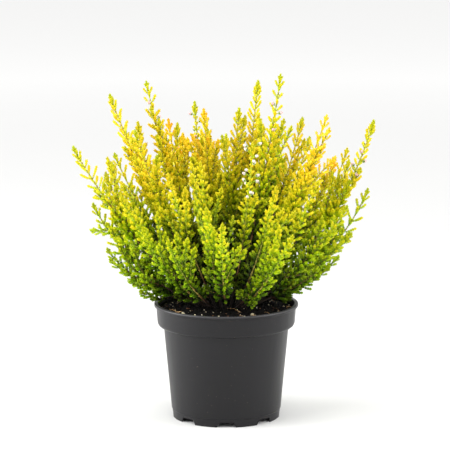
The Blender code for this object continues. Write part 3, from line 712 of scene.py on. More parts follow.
# Where each stem's tip is (x, y, z), how far it bows below a straight line (a share of
# its length), and the tips of its side branches.
STEMS = {
    "left": [
        ((-0.1255, -0.030, 0.2320), 0.07, [(-0.1130, -0.004, 0.1560)]),
        ((-0.0970, 0.010, 0.2700), 0.03, [(-0.0860, 0.032, 0.2380)]),
        ((-0.0670, 0.020, 0.2800), 0.03, []),
        ((-0.0750, -0.025, 0.2450), 0.05, [(-0.0560, -0.046, 0.2260)]),
        ((-0.0930, -0.005, 0.2230), 0.06, []),
        ((-0.1110, -0.010, 0.1820), 0.16, []),
        ((-0.1030, 0.030, 0.1980), 0.10, []),
        ((-0.0990, 0.005, 0.1320), 0.10, []),
        ((-0.0800, 0.012, 0.1080), 0.06, [(-0.0720, -0.015, 0.1070)]),
    ],
    "middle": [
        ((-0.0490, 0.045, 0.2450), 0.05, [(-0.0420, 0.074, 0.2180)]),
        ((-0.0270, 0.060, 0.2580), 0.05, []),
        ((-0.0190, 0.028, 0.2560), 0.03, [(-0.0290, 0.046, 0.2310)]),
        ((-0.0160, 0.056, 0.2350), 0.06, []),
        ((0.0110, 0.025, 0.2570), 0.02, [(-0.0040, 0.006, 0.2360)]),
        ((0.0270, 0.035, 0.2790), 0.04, []),
        ((0.0450, 0.000, 0.2880), 0.03, []),
        ((0.0280, 0.062, 0.2470), 0.06, []),
        ((0.0480, 0.048, 0.2420), 0.05, [(0.0440, 0.072, 0.2200)]),
        ((0.0000, 0.084, 0.2270), 0.08, [(-0.0150, 0.092, 0.2180)]),
    ],
    "right": [
        ((0.0640, 0.018, 0.2500), 0.04, []),
        ((0.0720, 0.068, 0.2270), 0.07, []),
        ((0.0830, -0.015, 0.2560), 0.04, [(0.0920, 0.004, 0.2180)]),
        ((0.0770, 0.032, 0.2200), 0.06, []),
        ((0.0930, 0.050, 0.2100), 0.09, []),
        ((0.1240, 0.030, 0.2460), 0.13, [(0.1040, 0.012, 0.1980)]),
        ((0.1195, 0.018, 0.1900), 0.20, []),
        ((0.1000, -0.030, 0.1830), 0.10, []),
        ((0.1040, 0.000, 0.1560), 0.14, []),
        ((0.0880, -0.004, 0.1270), 0.08, []),
        ((0.0760, 0.030, 0.1090), 0.05, [(0.0640, 0.002, 0.1070)]),
    ],
    "front": [
        ((-0.0670, -0.060, 0.1640), 0.12, []),
        ((-0.0470, -0.082, 0.1640), 0.12, []),
        ((-0.0470, -0.060, 0.2140), 0.06, []),
        ((-0.0160, -0.096, 0.1920), 0.10, []),
        ((-0.0030, -0.1080, 0.1810), 0.11, []),
        ((-0.0210, -0.050, 0.2220), 0.04, []),
        ((0.0210, -0.068, 0.2400), 0.06, []),
        ((0.0410, -0.086, 0.1630), 0.13, []),
        ((0.0530, -0.100, 0.1700), 0.10, []),
        ((0.0400, -0.078, 0.2060), 0.07, [(0.0570, -0.062, 0.1830)]),
        ((0.0750, -0.050, 0.2070), 0.08, []),
        ((-0.0860, -0.052, 0.1950), 0.09, [(-0.0930, -0.040, 0.1560)]),
    ],
    "back": [
        ((-0.1020, 0.060, 0.2100), 0.09, [(-0.0980, 0.058, 0.1620)]),
        ((-0.0820, 0.078, 0.2240), 0.08, []),
        ((-0.0520, 0.098, 0.2140), 0.09, [(-0.0640, 0.088, 0.1600)]),
        ((-0.0220, 0.106, 0.2280), 0.08, []),
        ((0.0140, 0.107, 0.2060), 0.11, [(-0.0060, 0.104, 0.1640)]),
        ((0.0430, 0.101, 0.2240), 0.08, []),
        ((0.0760, 0.088, 0.2040), 0.10, [(0.0660, 0.094, 0.1560)]),
        ((0.1040, 0.062, 0.2180), 0.10, [(0.1010, 0.056, 0.1660)]),
        ((-0.0260, 0.100, 0.1400), 0.12, []),
        ((0.0320, 0.099, 0.1420), 0.13, []),
        ((-0.0740, 0.056, 0.1200), 0.08, []),
        ((-0.0340, 0.078, 0.1120), 0.06, []),
        ((0.0240, 0.080, 0.1110), 0.06, []),
        ((0.0720, 0.058, 0.1200), 0.08, []),
    ],
}


def unit(vector):
    """The direction of a vector, of length 1."""
    return vector / np.linalg.norm(vector)


def stem_rows():
    """Every stem of the table as (name, tip, bow, tips of its branches)."""
    rows = []
    for group, stems in STEMS.items():
        for number, (tip, bow, branches) in enumerate(stems, 1):
            rows.append((f"{group}_{number}", np.array(tip), bow, branches))
    return rows


def spread_bases(tips):
    """Where the stems leave the peat: under their tips, pushed apart to fit."""
    flat = tips[:, :2]
    reach = np.linalg.norm(flat, axis=1)
    ring = CROWN_RADIUS * (reach / reach.max()) ** CROWN_POWER
    bases = flat / reach[:, None] * ring[:, None]
    for _ in range(SPREAD_ROUNDS):
        apart = bases[:, None] - bases[None]
        distance = np.linalg.norm(apart, axis=2) + np.eye(len(bases))
        short = np.clip(BASE_SPACING * SPREAD_MARGIN - distance, 0.0, None)
        np.fill_diagonal(short, 0.0)
        bases = bases + (apart / distance[..., None] * short[..., None]).sum(axis=1) * SPREAD_STEP
        radius = np.linalg.norm(bases, axis=1)
        bases = bases * np.minimum(1.0, CROWN_RADIUS / radius)[:, None]
    return np.column_stack([bases, np.full(len(bases), STEM_BEND)])


def bowed_control(start, tip, bow, sway):
    """The middle point of a curve that leaves flatter than it arrives."""
    chord = tip - start
    length = np.linalg.norm(chord)
    along = chord / length
    out = np.array((chord[0], chord[1], 0.0))
    out = unit(out - out.dot(along) * along)
    return start + chord / 2 + length * (bow * out + sway * np.cross(along, out))


def core_radius(from_peat, to_tip, on_branch):
    """The solid core's radius at this length from the peat and from the tip."""
    start = 1.0 if on_branch else np.clip(
        (from_peat - BARE_LENGTH) / (CORE_FULL_LENGTH - BARE_LENGTH), 0.0, 1.0)
    radius = STALK_RADIUS + (CORE_RADIUS - STALK_RADIUS) * start
    end = np.clip(to_tip / SPEAR_LENGTH, 0.0, 1.0)
    return np.minimum(radius, TIP_RADIUS + (CORE_RADIUS - TIP_RADIUS) * end)


class Line:
    """The middle line of a stem, branch or twig, as a quadratic curve."""

    def __init__(self, stem, start, control, tip, parent=None):
        self.stem = stem
        self.start = start
        self.control = control
        self.tip = tip
        self.parent = parent
        self.bend = np.zeros(3)

    def points(self, shares):
        t = np.asarray(shares)[:, None]
        return (1 - t) ** 2 * self.start + 2 * t * (1 - t) * self.control + t ** 2 * self.tip

    def lengths(self, points):
        steps = np.linalg.norm(np.diff(points, axis=0), axis=1)
        return np.concatenate([[0.0], np.cumsum(steps)])

    def radii(self, points):
        run = self.lengths(points)
        return core_radius(run, run[-1] - run, self.parent is not None)


def hang_branches(lines):
    """Starts each branch on its stem, leaving along it. A later push stays in bend."""
    for line in lines:
        if line.parent is None:
            continue
        at = line.parent.points([BRANCH_LEAVES_AT, BRANCH_LEAVES_AT + BRANCH_HEADING])
        line.start = at[0]
        reach = np.linalg.norm(line.tip - line.start)
        line.control = line.start + BRANCH_PULL * reach * unit(at[1] - at[0]) + line.bend


def push_apart(lines):
    """Moves the middle of each line away from the lines that come too near it."""
    shares = np.linspace(0.0, 1.0, LINE_SAMPLES)
    points = np.concatenate([line.points(shares) for line in lines])
    radii = np.concatenate([line.radii(line.points(shares)) for line in lines])
    owners = np.repeat(np.arange(len(lines)), LINE_SAMPLES)
    tree = KDTree(len(points))
    for index, point in enumerate(points):
        tree.insert(point, index)
    tree.balance()
    worst = np.zeros(len(lines))
    pushes = np.zeros((len(lines), 3))
    for index, point in enumerate(points):
        own = owners[index]
        for _, other, distance in tree.find_range(point, 2 * CORE_RADIUS + STEM_GAP):
            if lines[owners[other]].stem == lines[own].stem:
                continue
            short = radii[index] + radii[other] + STEM_GAP - distance
            if short > worst[own]:
                worst[own] = short
                pushes[own] = (point - points[other]) / distance * (short + PUSH_BEYOND)
    for line, push in zip(lines, pushes):
        line.control = line.control + push
        if line.parent is not None:
            line.bend = line.bend + push
    return worst.max() > 0


def grown_lines(rows):
    """The middle lines of all stems and branches, bent clear of each other."""
    bases = spread_bases(np.array([tip for _, tip, _, _ in rows]))
    sway = np.random.default_rng(SWAY_SEED).uniform(-SWAY, SWAY, len(rows))
    lines = []
    for stem, (_, tip, bow, branches) in enumerate(rows):
        stalk = Line(stem, bases[stem], bowed_control(bases[stem], tip, bow, sway[stem]), tip)
        lines.append(stalk)
        for branch_tip in branches:
            lines.append(Line(stem, None, None, np.array(branch_tip), stalk))
    for _ in range(PUSH_ROUNDS):
        hang_branches(lines)
        if not push_apart(lines):
            break
    return lines


rows = stem_rows()
lines = grown_lines(rows)


# The twigs and inner branches, which fill the bush between the stems. Short twigs leave the
# lower and middle part of each stem in a spiral and bend upwards, and longer branches rise
# between neighbouring stems and at the sides. All are young wood, grown out of the stem.
TWIG_PITCH = 0.0110
TWIG_LOWEST = 0.012
TWIG_HIGHEST_SHARE = 0.66
TWIG_LENGTHS = (0.020, 0.034)
TWIG_LEAN = math.radians(44.0)
TWIG_RISE = 0.30
TWIG_NEIGHBOUR = 0.013
TWIG_TURN = 0.4
TWIG_UNEVEN = (0.8, 1.2)
TWIG_BEND_AT = 0.5
TWIG_SEED = 500
INFILL_NEIGHBOURS = 4
INFILL_APART = (0.018, 0.062)
INFILL_STARTS = (0.26, 0.46)
INFILL_HEIGHTS = (0.66, 0.84)
INFILL_SEED = 61
SEARCH_SPAN = (0.1, 0.97)
SEARCH_SAMPLES = 40

# Side sprays that show at the front and at the sides: their stem, where on it they start
# (a share of its length), and where they end.
SIDE_SPRAYS = [
    ("middle_3", 0.35, (-0.0330, 0.002, 0.2340)),
    ("middle_2", 0.32, (-0.0285, -0.012, 0.2190)),
    ("front_6", 0.35, (-0.0300, -0.030, 0.2080)),
    ("front_6", 0.28, (-0.0300, -0.016, 0.2170)),
    ("front_4", 0.28, (-0.0262, -0.036, 0.1850)),
    ("left_4", 0.30, (-0.0630, 0.004, 0.1800)),
    ("front_5", 0.30, (0.0060, -0.040, 0.1760)),
    ("front_6", 0.25, (-0.0140, -0.026, 0.1900)),
    ("middle_5", 0.25, (0.0180, -0.022, 0.1960)),
    ("middle_4", 0.25, (-0.0040, -0.008, 0.2060)),
    ("middle_6", 0.25, (0.0320, -0.030, 0.1850)),
    ("front_4", 0.35, (-0.0262, -0.046, 0.1940)),
    ("left_4", 0.30, (-0.0610, -0.034, 0.2060)),
    ("left_7", 0.35, (-0.0660, 0.004, 0.2080)),
    ("front_1", 0.30, (-0.0560, -0.050, 0.1820)),
    ("left_8", 0.30, (-0.0900, -0.022, 0.1520)),
    ("left_8", 0.25, (-0.0760, -0.030, 0.1480)),
    ("left_9", 0.25, (-0.0700, -0.034, 0.1240)),
    ("left_3", 0.55, (-0.0631, 0.014, 0.2598)),
    ("right_9", 0.30, (0.0940, -0.026, 0.1500)),
    ("right_10", 0.25, (0.0760, -0.030, 0.1300)),
    ("right_8", 0.30, (0.0860, -0.040, 0.1640)),
    ("left_3", 0.50, (-0.0564, 0.012, 0.2492)),
    ("left_3", 0.40, (-0.0580, 0.006, 0.2367)),
    ("right_3", 0.50, (0.0859, -0.008, 0.2443)),
    ("right_3", 0.42, (0.0818, -0.010, 0.2314)),
    ("left_8", 0.45, (-0.1006, 0.000, 0.1420)),
    ("left_9", 0.35, (-0.0890, -0.004, 0.1242)),
    ("right_9", 0.45, (0.1060, 0.000, 0.1547)),
    ("right_10", 0.40, (0.0954, 0.000, 0.1353)),
]
GOLDEN_ANGLE = math.radians(137.5)
COURSE_SAMPLES = 61
TANGENT_STEP = 0.002
CLEAR_OF_POT = 0.0015


class Course:
    """A line measured along its length, with a frame at each place on it."""

    def __init__(self, line):
        self.points = line.points(np.linspace(0.0, 1.0, COURSE_SAMPLES))
        self.run = line.lengths(self.points)
        self.whole = self.run[-1]

    def place(self, at):
        return np.array([np.interp(at, self.run, self.points[:, axis]) for axis in range(3)])

    def frame(self, to_tip):
        """The point at this length from the tip, and the three directions there."""
        root = self.place(self.whole - to_tip)
        along = unit(self.place(self.whole - to_tip + TANGENT_STEP) - root)
        across = unit(np.cross(UP, along))
        return root, along, across, np.cross(along, across)


def clear_of_pot(point):
    """True for a point that is above the peat and not in the pot's wall or lip."""
    reach = math.hypot(point[0], point[1])
    if reach > LIP_RADIUS + CLEAR_OF_POT:
        return True
    over_wall = reach > COLLAR_FOOT_RADIUS - POT_WALL - CLEAR_OF_POT
    return point[2] > (POT_HEIGHT if over_wall else PEAT_TOP_HEIGHT) + CLEAR_OF_POT


def neighbour_search(lines):
    """A search tree of points on all the lines, and the stem that each belongs to."""
    shares = np.linspace(*SEARCH_SPAN, SEARCH_SAMPLES)
    points = np.concatenate([line.points(shares) for line in lines])
    owners = np.repeat([line.stem for line in lines], SEARCH_SAMPLES)
    tree = KDTree(len(points))
    for index, point in enumerate(points):
        tree.insert(point, index)
    tree.balance()
    return tree, owners


def between_stems(point, stem, search):
    """True where another stem passes near, so that a twig fills a gap and doesn't stick out."""
    tree, owners = search
    return any(owners[index] != stem for _, index, _ in tree.find_range(point, TWIG_NEIGHBOUR))


def twigs_of(line, number, search):
    """The twigs of one stem."""
    draws = np.random.default_rng(TWIG_SEED + number)
    course = Course(line)
    from_peat = TWIG_LOWEST
    found = []
    while from_peat < course.whole * TWIG_HIGHEST_SHARE:
        root, along, across, third = course.frame(course.whole - from_peat)
        angle = GOLDEN_ANGLE * (number + len(found)) + draws.uniform(-TWIG_TURN, TWIG_TURN)
        lean = TWIG_LEAN * draws.uniform(*TWIG_UNEVEN)
        side = math.cos(angle) * across + math.sin(angle) * third
        aim = math.cos(lean) * along + math.sin(lean) * side
        length = draws.uniform(*TWIG_LENGTHS)
        control = root + aim * length * TWIG_BEND_AT
        tip = control + unit(aim + TWIG_RISE * UP) * length * (1 - TWIG_BEND_AT)
        if clear_of_pot(tip) and clear_of_pot(control) and between_stems(tip, line.stem, search):
            found.append(Line(line.stem, root, control, tip, line))
        from_peat += TWIG_PITCH * draws.uniform(*TWIG_UNEVEN)
    return found


def branch_of(stalk, at, tip):
    """A branch that leaves a stem along it, at a share of its length, and ends at a tip."""
    start, ahead = stalk.points([at, at + BRANCH_HEADING])
    reach = np.linalg.norm(tip - start)
    control = start + BRANCH_PULL * reach * unit(ahead - start)
    return Line(stalk.stem, start, control, tip, stalk)


def infill_branches(lines):
    """Branches that rise between neighbouring stems and end lower than those."""
    draws = np.random.default_rng(INFILL_SEED)
    stalks = [line for line in lines if line.parent is None]
    tips = np.array([line.tip for line in stalks])
    found, seen = [], set()
    for own, stalk in enumerate(stalks):
        apart = np.linalg.norm(tips - stalk.tip, axis=1)
        for other in np.argsort(apart)[1:INFILL_NEIGHBOURS + 1]:
            pair = (min(own, other), max(own, other))
            if pair in seen or not INFILL_APART[0] < apart[other] < INFILL_APART[1]:
                continue
            seen.add(pair)
            at = draws.uniform(*INFILL_STARTS)
            start = stalk.points([at])[0]
            middle = (stalk.tip + stalks[other].tip) / 2
            tip = start + (middle - start) * draws.uniform(*INFILL_HEIGHTS)
            found.append(branch_of(stalk, at, tip))
    return found


search = neighbour_search(lines)
infills = infill_branches(lines)
stalks = {rows[line.stem][0]: line for line in lines if line.parent is None}
for name, at, tip in SIDE_SPRAYS:
    infills.append(branch_of(stalks[name], at, np.array(tip)))
twigs = []
for number, line in enumerate(lines):
    if line.parent is None:
        twigs += twigs_of(line, number, search)


# The leafy shoots: short side shoots in crossed pairs along every stem, branch and twig.
# Each is a club of tiny scale leaves in four rows, one pair across the next, and each
# stem ends in a spear of them. Green inside, golden where the light reaches, and darkened
# as painted shade deep in the bush and at the root of each shoot.
FIRST_PAIR = 0.0158
BRANCH_PITCH = 0.0050
ROLL = 0.5
LIFT = 0.12
ANGLE_JITTER = 0.22
LEAN_JITTER = math.radians(6.0)
LENGTH_JITTER = 0.14
LENGTH_BELOW_TIP = (0.0, 0.016, 0.030, 0.080, 0.160)
SHOOT_LENGTHS = (0.0055, 0.0080, 0.0104, 0.0122, 0.0134)
LEAN_BELOW_TIP = (0.0, 0.016, 0.035, 0.120)
SHOOT_LEANS = (26.0, 40.0, 48.0, 54.0)
SPREAD_BELOW_TIP = (0.006, 0.030)
FRESH_BELOW_TIP = (0.010, 0.035)
FRESH_SHARE = 0.5
CROSS_SHARE = 0.66
CROSS_JITTER = 0.25
CROSS_LEAN = math.radians(12.0)
PLACE_JITTER = 0.0022
SHOOT_BEND = 0.20
SHOOT_WIDTH_AT = (0.0, 0.25, 0.65, 1.0)
SHOOT_WIDTHS = (0.55, 0.80, 1.0)
RIPER_AT_TIP = 0.34
LIGHT_AT_ROOT = 0.46
FULL_LIGHT_AT = 0.55
LEAF_PITCH = 0.00092
LEAF_LENGTH = 0.0027
LEAF_HALF_WIDTH = 0.00118
LEAF_WIDEST = 0.50
LEAF_KEEL = 0.00040
LEAF_ROOT_RADIUS = 0.00050
LEAF_FLARE = math.radians(24.0)
TIP_FLARE = math.radians(8.0)
ROOT_FLARE_SHARE = 0.7
FLARE_AT = (0.0, 0.7, 1.0)
LEAF_PAST_SPINE = 0.7
FIRST_LEAF = 0.3
FULL_LEAF_SHOOT = 0.0055
SPEAR_PAIRS = 4
SPEAR_PAIR_PITCH = 0.0029
SPEAR_FIRST_PAIR = 0.0040
SPEAR_SHOOT_LENGTHS = (0.0034, 0.0074)
SPEAR_LEANS = (25.0, 42.0)
SPEAR_SLIM = 0.86
SPEAR_LIME_FADE = 0.6
SPEAR_END = 0.55
SPEAR_BEYOND = 0.0009
SPEAR_CORE_LENGTH = 0.0125
SCALE_PITCH = 0.0019
SCALES_BELOW_TIP = 0.045
SCALE_SIZE = 0.7
SCALE_FLARE = math.radians(14.0)
SCALE_SET_OUT = 0.0002
SCALE_GREENER = 0.12


class Foliage:
    """Points, faces, materials and tints gathered for the mesh of one stem."""

    def __init__(self):
        self.points = []
        self.faces = []
        self.slots = []
        self.tints = []
        self.count = 0

    def add(self, points, faces, slot, tints):
        """Adds a closed shape or several, of one material, with a tint for each point."""
        self.points.append(points)
        self.faces.append(faces + self.count)
        self.slots.append(np.full(len(faces), slot))
        self.tints.append(np.broadcast_to(tints, (len(points), 3)))
        self.count += len(points)

    def make(self, name, finishes):
        """The mesh object of all that was added."""
        item = mesh_object(name, np.concatenate(self.points), np.concatenate(self.faces))
        for finish in finishes:
            item.data.materials.append(finish)
        slots = np.concatenate(self.slots)
        item.data.polygons.foreach_set("material_index", slots)
        item.data.polygons.foreach_set("use_smooth", slots != LEAF)
        tint = item.data.attributes.new("tint", "FLOAT_VECTOR", "POINT")
        tint.data.foreach_set("vector", np.concatenate(self.tints).astype(np.float32).ravel())
        return item


LEAF_FACES = np.array(((0, 3, 1), (0, 2, 3), (0, 1, 2), (3, 2, 1)))
LEAF_POINTS = 4
WOOD, LEAF, PETAL = range(3)


def add_leaves(foliage, roots, along, out, sizes, flares, tints):
    """Scale leaves, each a closed shape with a keel from its root to its tip, and two edges."""
    flare = flares[:, None]
    size = sizes[:, None]
    blade = (np.cos(flare) * along + np.sin(flare) * out) * LEAF_LENGTH * size
    edge = np.cross(along, out) * LEAF_HALF_WIDTH * size
    root = roots + out * LEAF_ROOT_RADIUS * size
    middle = root + blade * LEAF_WIDEST - out * LEAF_KEEL * size
    points = np.stack([root, middle + edge, middle - edge, root + blade], axis=1)
    faces = LEAF_FACES[None] + LEAF_POINTS * np.arange(len(roots))[:, None, None]
    foliage.add(points.reshape(-1, 3), faces.reshape(-1, 3), LEAF,
                np.repeat(tints, LEAF_POINTS, axis=0))


def add_shoot(foliage, root, direction, length, roll, tint, slim=1.0, end=1.0):
    """A club of scale leaves that bends upwards a little. tint gives (gold, lime, light),
    where light is a painted shade that falls towards the shoot's root.
    """
    slim = slim * min(1.0, length / FULL_LEAF_SHOOT)
    length = length - LEAF_PAST_SPINE * LEAF_LENGTH * slim
    pairs = max(2, round(length / (LEAF_PITCH * slim)))
    share = (np.arange(pairs) + FIRST_LEAF) / pairs
    spine = root + length * (share[:, None] * direction
                             + SHOOT_BEND * share[:, None] ** 2 * (UP - direction * direction[2]))
    along = unit_rows(direction + 2 * SHOOT_BEND * share[:, None] * UP)
    spare = np.eye(3)[np.argmin(np.abs(direction))]
    across = unit_rows(np.cross(along, spare))
    third = np.cross(along, across)
    width = slim * np.interp(share, SHOOT_WIDTH_AT, (*SHOOT_WIDTHS, end))
    flare = np.interp(share, FLARE_AT, (LEAF_FLARE * ROOT_FLARE_SHARE, LEAF_FLARE, TIP_FLARE))
    riper = tint[0] + RIPER_AT_TIP * (share - 0.5)
    # Painted shade: each shoot's light falls towards its root.
    light = tint[2] * np.interp(share, (0.0, FULL_LIGHT_AT), (LIGHT_AT_ROOT, 1.0))
    tints = np.column_stack([riper, np.full(pairs, tint[1]), light])
    turn = roll + np.arange(pairs) * math.pi / 2
    both = np.concatenate([turn, turn + math.pi])[:, None]
    out = np.cos(both) * np.tile(across, (2, 1)) + np.sin(both) * np.tile(third, (2, 1))
    add_leaves(foliage, np.tile(spine, (2, 1)), np.tile(along, (2, 1)), out, np.tile(width, 2),
               np.tile(flare, 2), np.tile(tints, (2, 1)))


def lean_out(place, angle, lean):
    """The way out of a stem at a place on it: an angle round it, a lean, a little lift."""
    _, along, across, third = place
    out = math.cos(angle) * across + math.sin(angle) * third
    return unit(math.cos(lean) * along + math.sin(lean) * out + LIFT * UP)


GREEN_BELOW = 0.095
GOLD_ABOVE = 0.215
RIPENESS = (0.13, 0.63)
RIPER_OUTSIDE = 0.22
EVEN_EXPOSURE = 0.82
SHOOT_TONE = 0.15
ORANGE_REACH = 0.034
BUSH_MIDDLE = np.array((0.0, 0.0, 0.100))
BUSH_SIZE = np.array((0.125, 0.108, 0.135))
FAN_HEIGHTS = (0.080, 0.125, 0.150, 0.190, 0.240)
FAN_RADII = (0.093, 0.095, 0.106, 0.106, 0.104)


def ripeness(point):
    """How golden a shoot is, from its height and from how far out in the bush it is."""
    height = np.clip((point[2] - GREEN_BELOW) / (GOLD_ABOVE - GREEN_BELOW), 0.0, 1.0)
    outside = RIPER_OUTSIDE * (exposure(point) - EVEN_EXPOSURE)
    return RIPENESS[0] + (RIPENESS[1] - RIPENESS[0]) * height + outside


def exposure(point):
    """How near the outside of the bush a point is: 1 outside, 0 in the dark at the crown."""
    outwards = math.hypot(point[0], point[1]) / np.interp(point[2], FAN_HEIGHTS, FAN_RADII)
    return min(1.0, max(outwards, np.linalg.norm((point - BUSH_MIDDLE) / BUSH_SIZE)))


def add_spear(foliage, course, roll, gold, lime, light):
    """The tip of a stem: a closed club, and crossed pairs of tiny shoots below it."""
    root = course.frame(SPEAR_CORE_LENGTH)[0]
    reach = course.points[-1] - root
    length = np.linalg.norm(reach)
    add_shoot(foliage, root, reach / length, length + SPEAR_BEYOND, roll, (gold, lime, light),
              1.0, SPEAR_END)
    for pair in range(SPEAR_PAIRS):
        share = pair / (SPEAR_PAIRS - 1)
        place = course.frame(SPEAR_FIRST_PAIR + pair * SPEAR_PAIR_PITCH)
        lean = math.radians(np.interp(share, (0.0, 1.0), SPEAR_LEANS))
        size = np.interp(share, (0.0, 1.0), SPEAR_SHOOT_LENGTHS)
        for side in range(2):
            angle = roll + math.pi / 2 * (pair % 2) + math.pi * side
            add_shoot(foliage, place[0], lean_out(place, angle, lean), size, angle,
                      (gold, lime * (1.0 - SPEAR_LIME_FADE * share), light), SPEAR_SLIM)


def add_scales(foliage, course, turn, bare, tone, painted_brightness):
    """Pairs of small leaves pressed to the stem, from below its spear."""
    count = int(min(SCALES_BELOW_TIP, course.whole - bare - SPEAR_LENGTH) / SCALE_PITCH)
    for step in range(max(count, 0)):
        root, along, across, third = course.frame(SPEAR_LENGTH + step * SCALE_PITCH)
        angles = turn + math.pi / 2 * (step % 2) + np.array((0.0, math.pi))
        out = np.cos(angles)[:, None] * across + np.sin(angles)[:, None] * third
        gold = ripeness(root) + tone - SCALE_GREENER
        # The third number of the tint is a painted shade, darker deeper in the bush.
        add_leaves(foliage, root + out * SCALE_SET_OUT, np.array([along, along]), out,
                   np.full(2, SCALE_SIZE), np.full(2, SCALE_FLARE),
                   np.array([(gold, 0.0, painted_brightness * exposure(root))] * 2))


def add_line_shoots(foliage, line, seed, bare, share, tone, lime, painted_brightness, pitch=BRANCH_PITCH,
                    thin_zone=(0.0, 0.0, 1.0), cross_below=1.0, spread=0.0):
    """All the shoots of one line, its spear, and the small leaves pressed to its stem."""
    course = Course(line)
    draws = np.random.default_rng(seed)
    turn = draws.uniform(-ROLL, ROLL)
    pairs = int((course.whole - bare - FIRST_PAIR) / pitch) + 1
    jitter = draws.uniform(-1.0, 1.0, (pairs, 2, 3))
    shades = draws.uniform(0.0, 1.0, (pairs, 4))
    # Two more shoots a pair, for the places where it is a cross.
    jitter = np.concatenate([jitter, draws.uniform(-1.0, 1.0, (pairs, 2, 3))], axis=1)
    # The brightness given here, times how far out in the bush a place is, is a painted shade that
    # darkens the leaves deep inside the bush.
    add_spear(foliage, course, turn, ripeness(line.tip) + tone, lime,
              painted_brightness * exposure(line.tip))
    for pair in range(pairs):
        to_tip = FIRST_PAIR + pair * pitch
        place = course.frame(to_tip)
        length = np.interp(to_tip, LENGTH_BELOW_TIP, SHOOT_LENGTHS) * share
        if thin_zone[0] < to_tip < thin_zone[1]:
            length *= thin_zone[2]
        lean = math.radians(np.interp(to_tip, LEAN_BELOW_TIP, SHOOT_LEANS))
        lean += spread * np.interp(to_tip, SPREAD_BELOW_TIP, (0.0, 1.0))
        fresh = lime * np.interp(to_tip, FRESH_BELOW_TIP, (FRESH_SHARE, 0.0))
        near_tip = tone
        if tone > 0:
            near_tip *= np.interp(to_tip, (0.0, ORANGE_REACH), (1.0, 0.0))
        for side in range(2 if to_tip < cross_below else 4):
            wide, steep, long = jitter[pair, side]
            angle = turn + math.pi / 2 * (pair % 2) + math.pi * side + ANGLE_JITTER * wide
            direction = lean_out(place, angle, lean + LEAN_JITTER * steep)
            size = length * (1.0 + LENGTH_JITTER * long)
            place = course.frame(to_tip + PLACE_JITTER * (shades[pair, side] - 0.5))
            if side > 1:
                angle += math.pi / 2
                direction = lean_out(place, angle, lean + CROSS_LEAN * long)
                size *= CROSS_SHARE * (1.0 + CROSS_JITTER * steep)
            end = place[0] + direction * size
            if clear_of_pot(end):
                # The third number of the tint is a painted shade, darker deeper in the bush.
                gold = ripeness(end) + near_tip + SHOOT_TONE * (shades[pair, side] - 0.5)
                add_shoot(foliage, place[0], direction, size, angle,
                          (gold, fresh, painted_brightness * exposure(end)))
    add_scales(foliage, course, turn, bare, tone, painted_brightness)


def tint_parts(tree):
    """The three numbers of the tint that each point of a leafy stem carries."""
    tint = shader_node(tree, "Attribute", attribute_name="tint").outputs["Vector"]
    return shader_node(tree, "SeparateXYZ", {"Vector": tint}).outputs


def leaf_finish():
    """Waxy scale leaves: deep green where they grow in the shade, through lime, to gold and
    orange, and mixed towards near black green as painted shade where the tint's light is low.
    """
    finish, tree, shader, place = new_finish("heather_leaves")
    gold, lime, light = tint_parts(tree)
    clouds = speckle(tree, place, 900.0, 2.0, span=(0.3, 0.7), level=(-0.05, 0.05))["Level"]
    colour = graded(tree, combined(tree, "ADD", gold, clouds), [
        (0.00, paint(60, 96, 4)), (0.20, paint(122, 166, 8)), (0.40, paint(190, 214, 12)),
        (0.56, paint(230, 222, 24)), (0.80, paint(250, 220, 42)), (1.00, paint(240, 170, 34)),
    ])
    colour = blended(tree, lime, colour, paint(172, 190, 16))
    # Painted shade: where the tint's light is low, deep in the bush and at the roots of the shoots,
    # the colour is mixed towards a near black green.
    colour = blended(tree, ranged(tree, light, 0.27, 0.71), paint(14, 24, 2), colour)
    feed(tree, shader, {"Base Color": colour, "Roughness": 0.48, "Specular IOR Level": 0.32})
    return finish


def wood_finish():
    """Young heather wood: dark grey-brown at the foot, darkened further by painted shade, then
    reddish brown, then pale green.
    """
    finish, tree, shader, place = new_finish("heather_wood")
    streaks = speckle(tree, place, 700.0, 4.0, 0.6, span=(0.2, 0.8), level=(-0.14, 0.14))
    age_and_shade = combined(tree, "ADD", tint_parts(tree)["X"], streaks["Level"])
    # The foot of the ramp is near black: the bark's own dark brown, darkened further as painted
    # shade where the bush shades the stems.
    colour = graded(tree, age_and_shade, [
        (0.00, paint(24, 18, 13)), (0.25, paint(70, 48, 31)), (0.50, paint(146, 104, 62)),
        (0.75, paint(176, 156, 72)), (1.00, paint(176, 190, 60)),
    ])
    feed(tree, shader, {"Base Color": colour, "Roughness": 0.7,
                        "Normal": bumped(tree, streaks["Cloud"], 0.6, 0.0003)})
    return finish


WOOD_RING_PITCH = 0.0042
WOOD_SIDES = 6
WOOD_FOOT_RADIUS = 0.00105
WOOD_TIP_RADIUS = 0.00032
TWIG_WOOD_RADIUS = 0.00046
INFILL_WOOD_RADIUS = 1.3 * TWIG_WOOD_RADIUS
WOOD_TAPER = 0.65
# How far up the wood's colour ramp each share of a line is: dark at the foot, partly as painted
# shade, and pale at the tip.
WOOD_AGE_AT = (0.0, 0.14, 0.32, 1.0)
WOOD_AGES_AND_SHADE = (0.0, 0.12, 0.26, 0.60)
FEWEST_RINGS = 4
KNOT_SHARE = 0.12


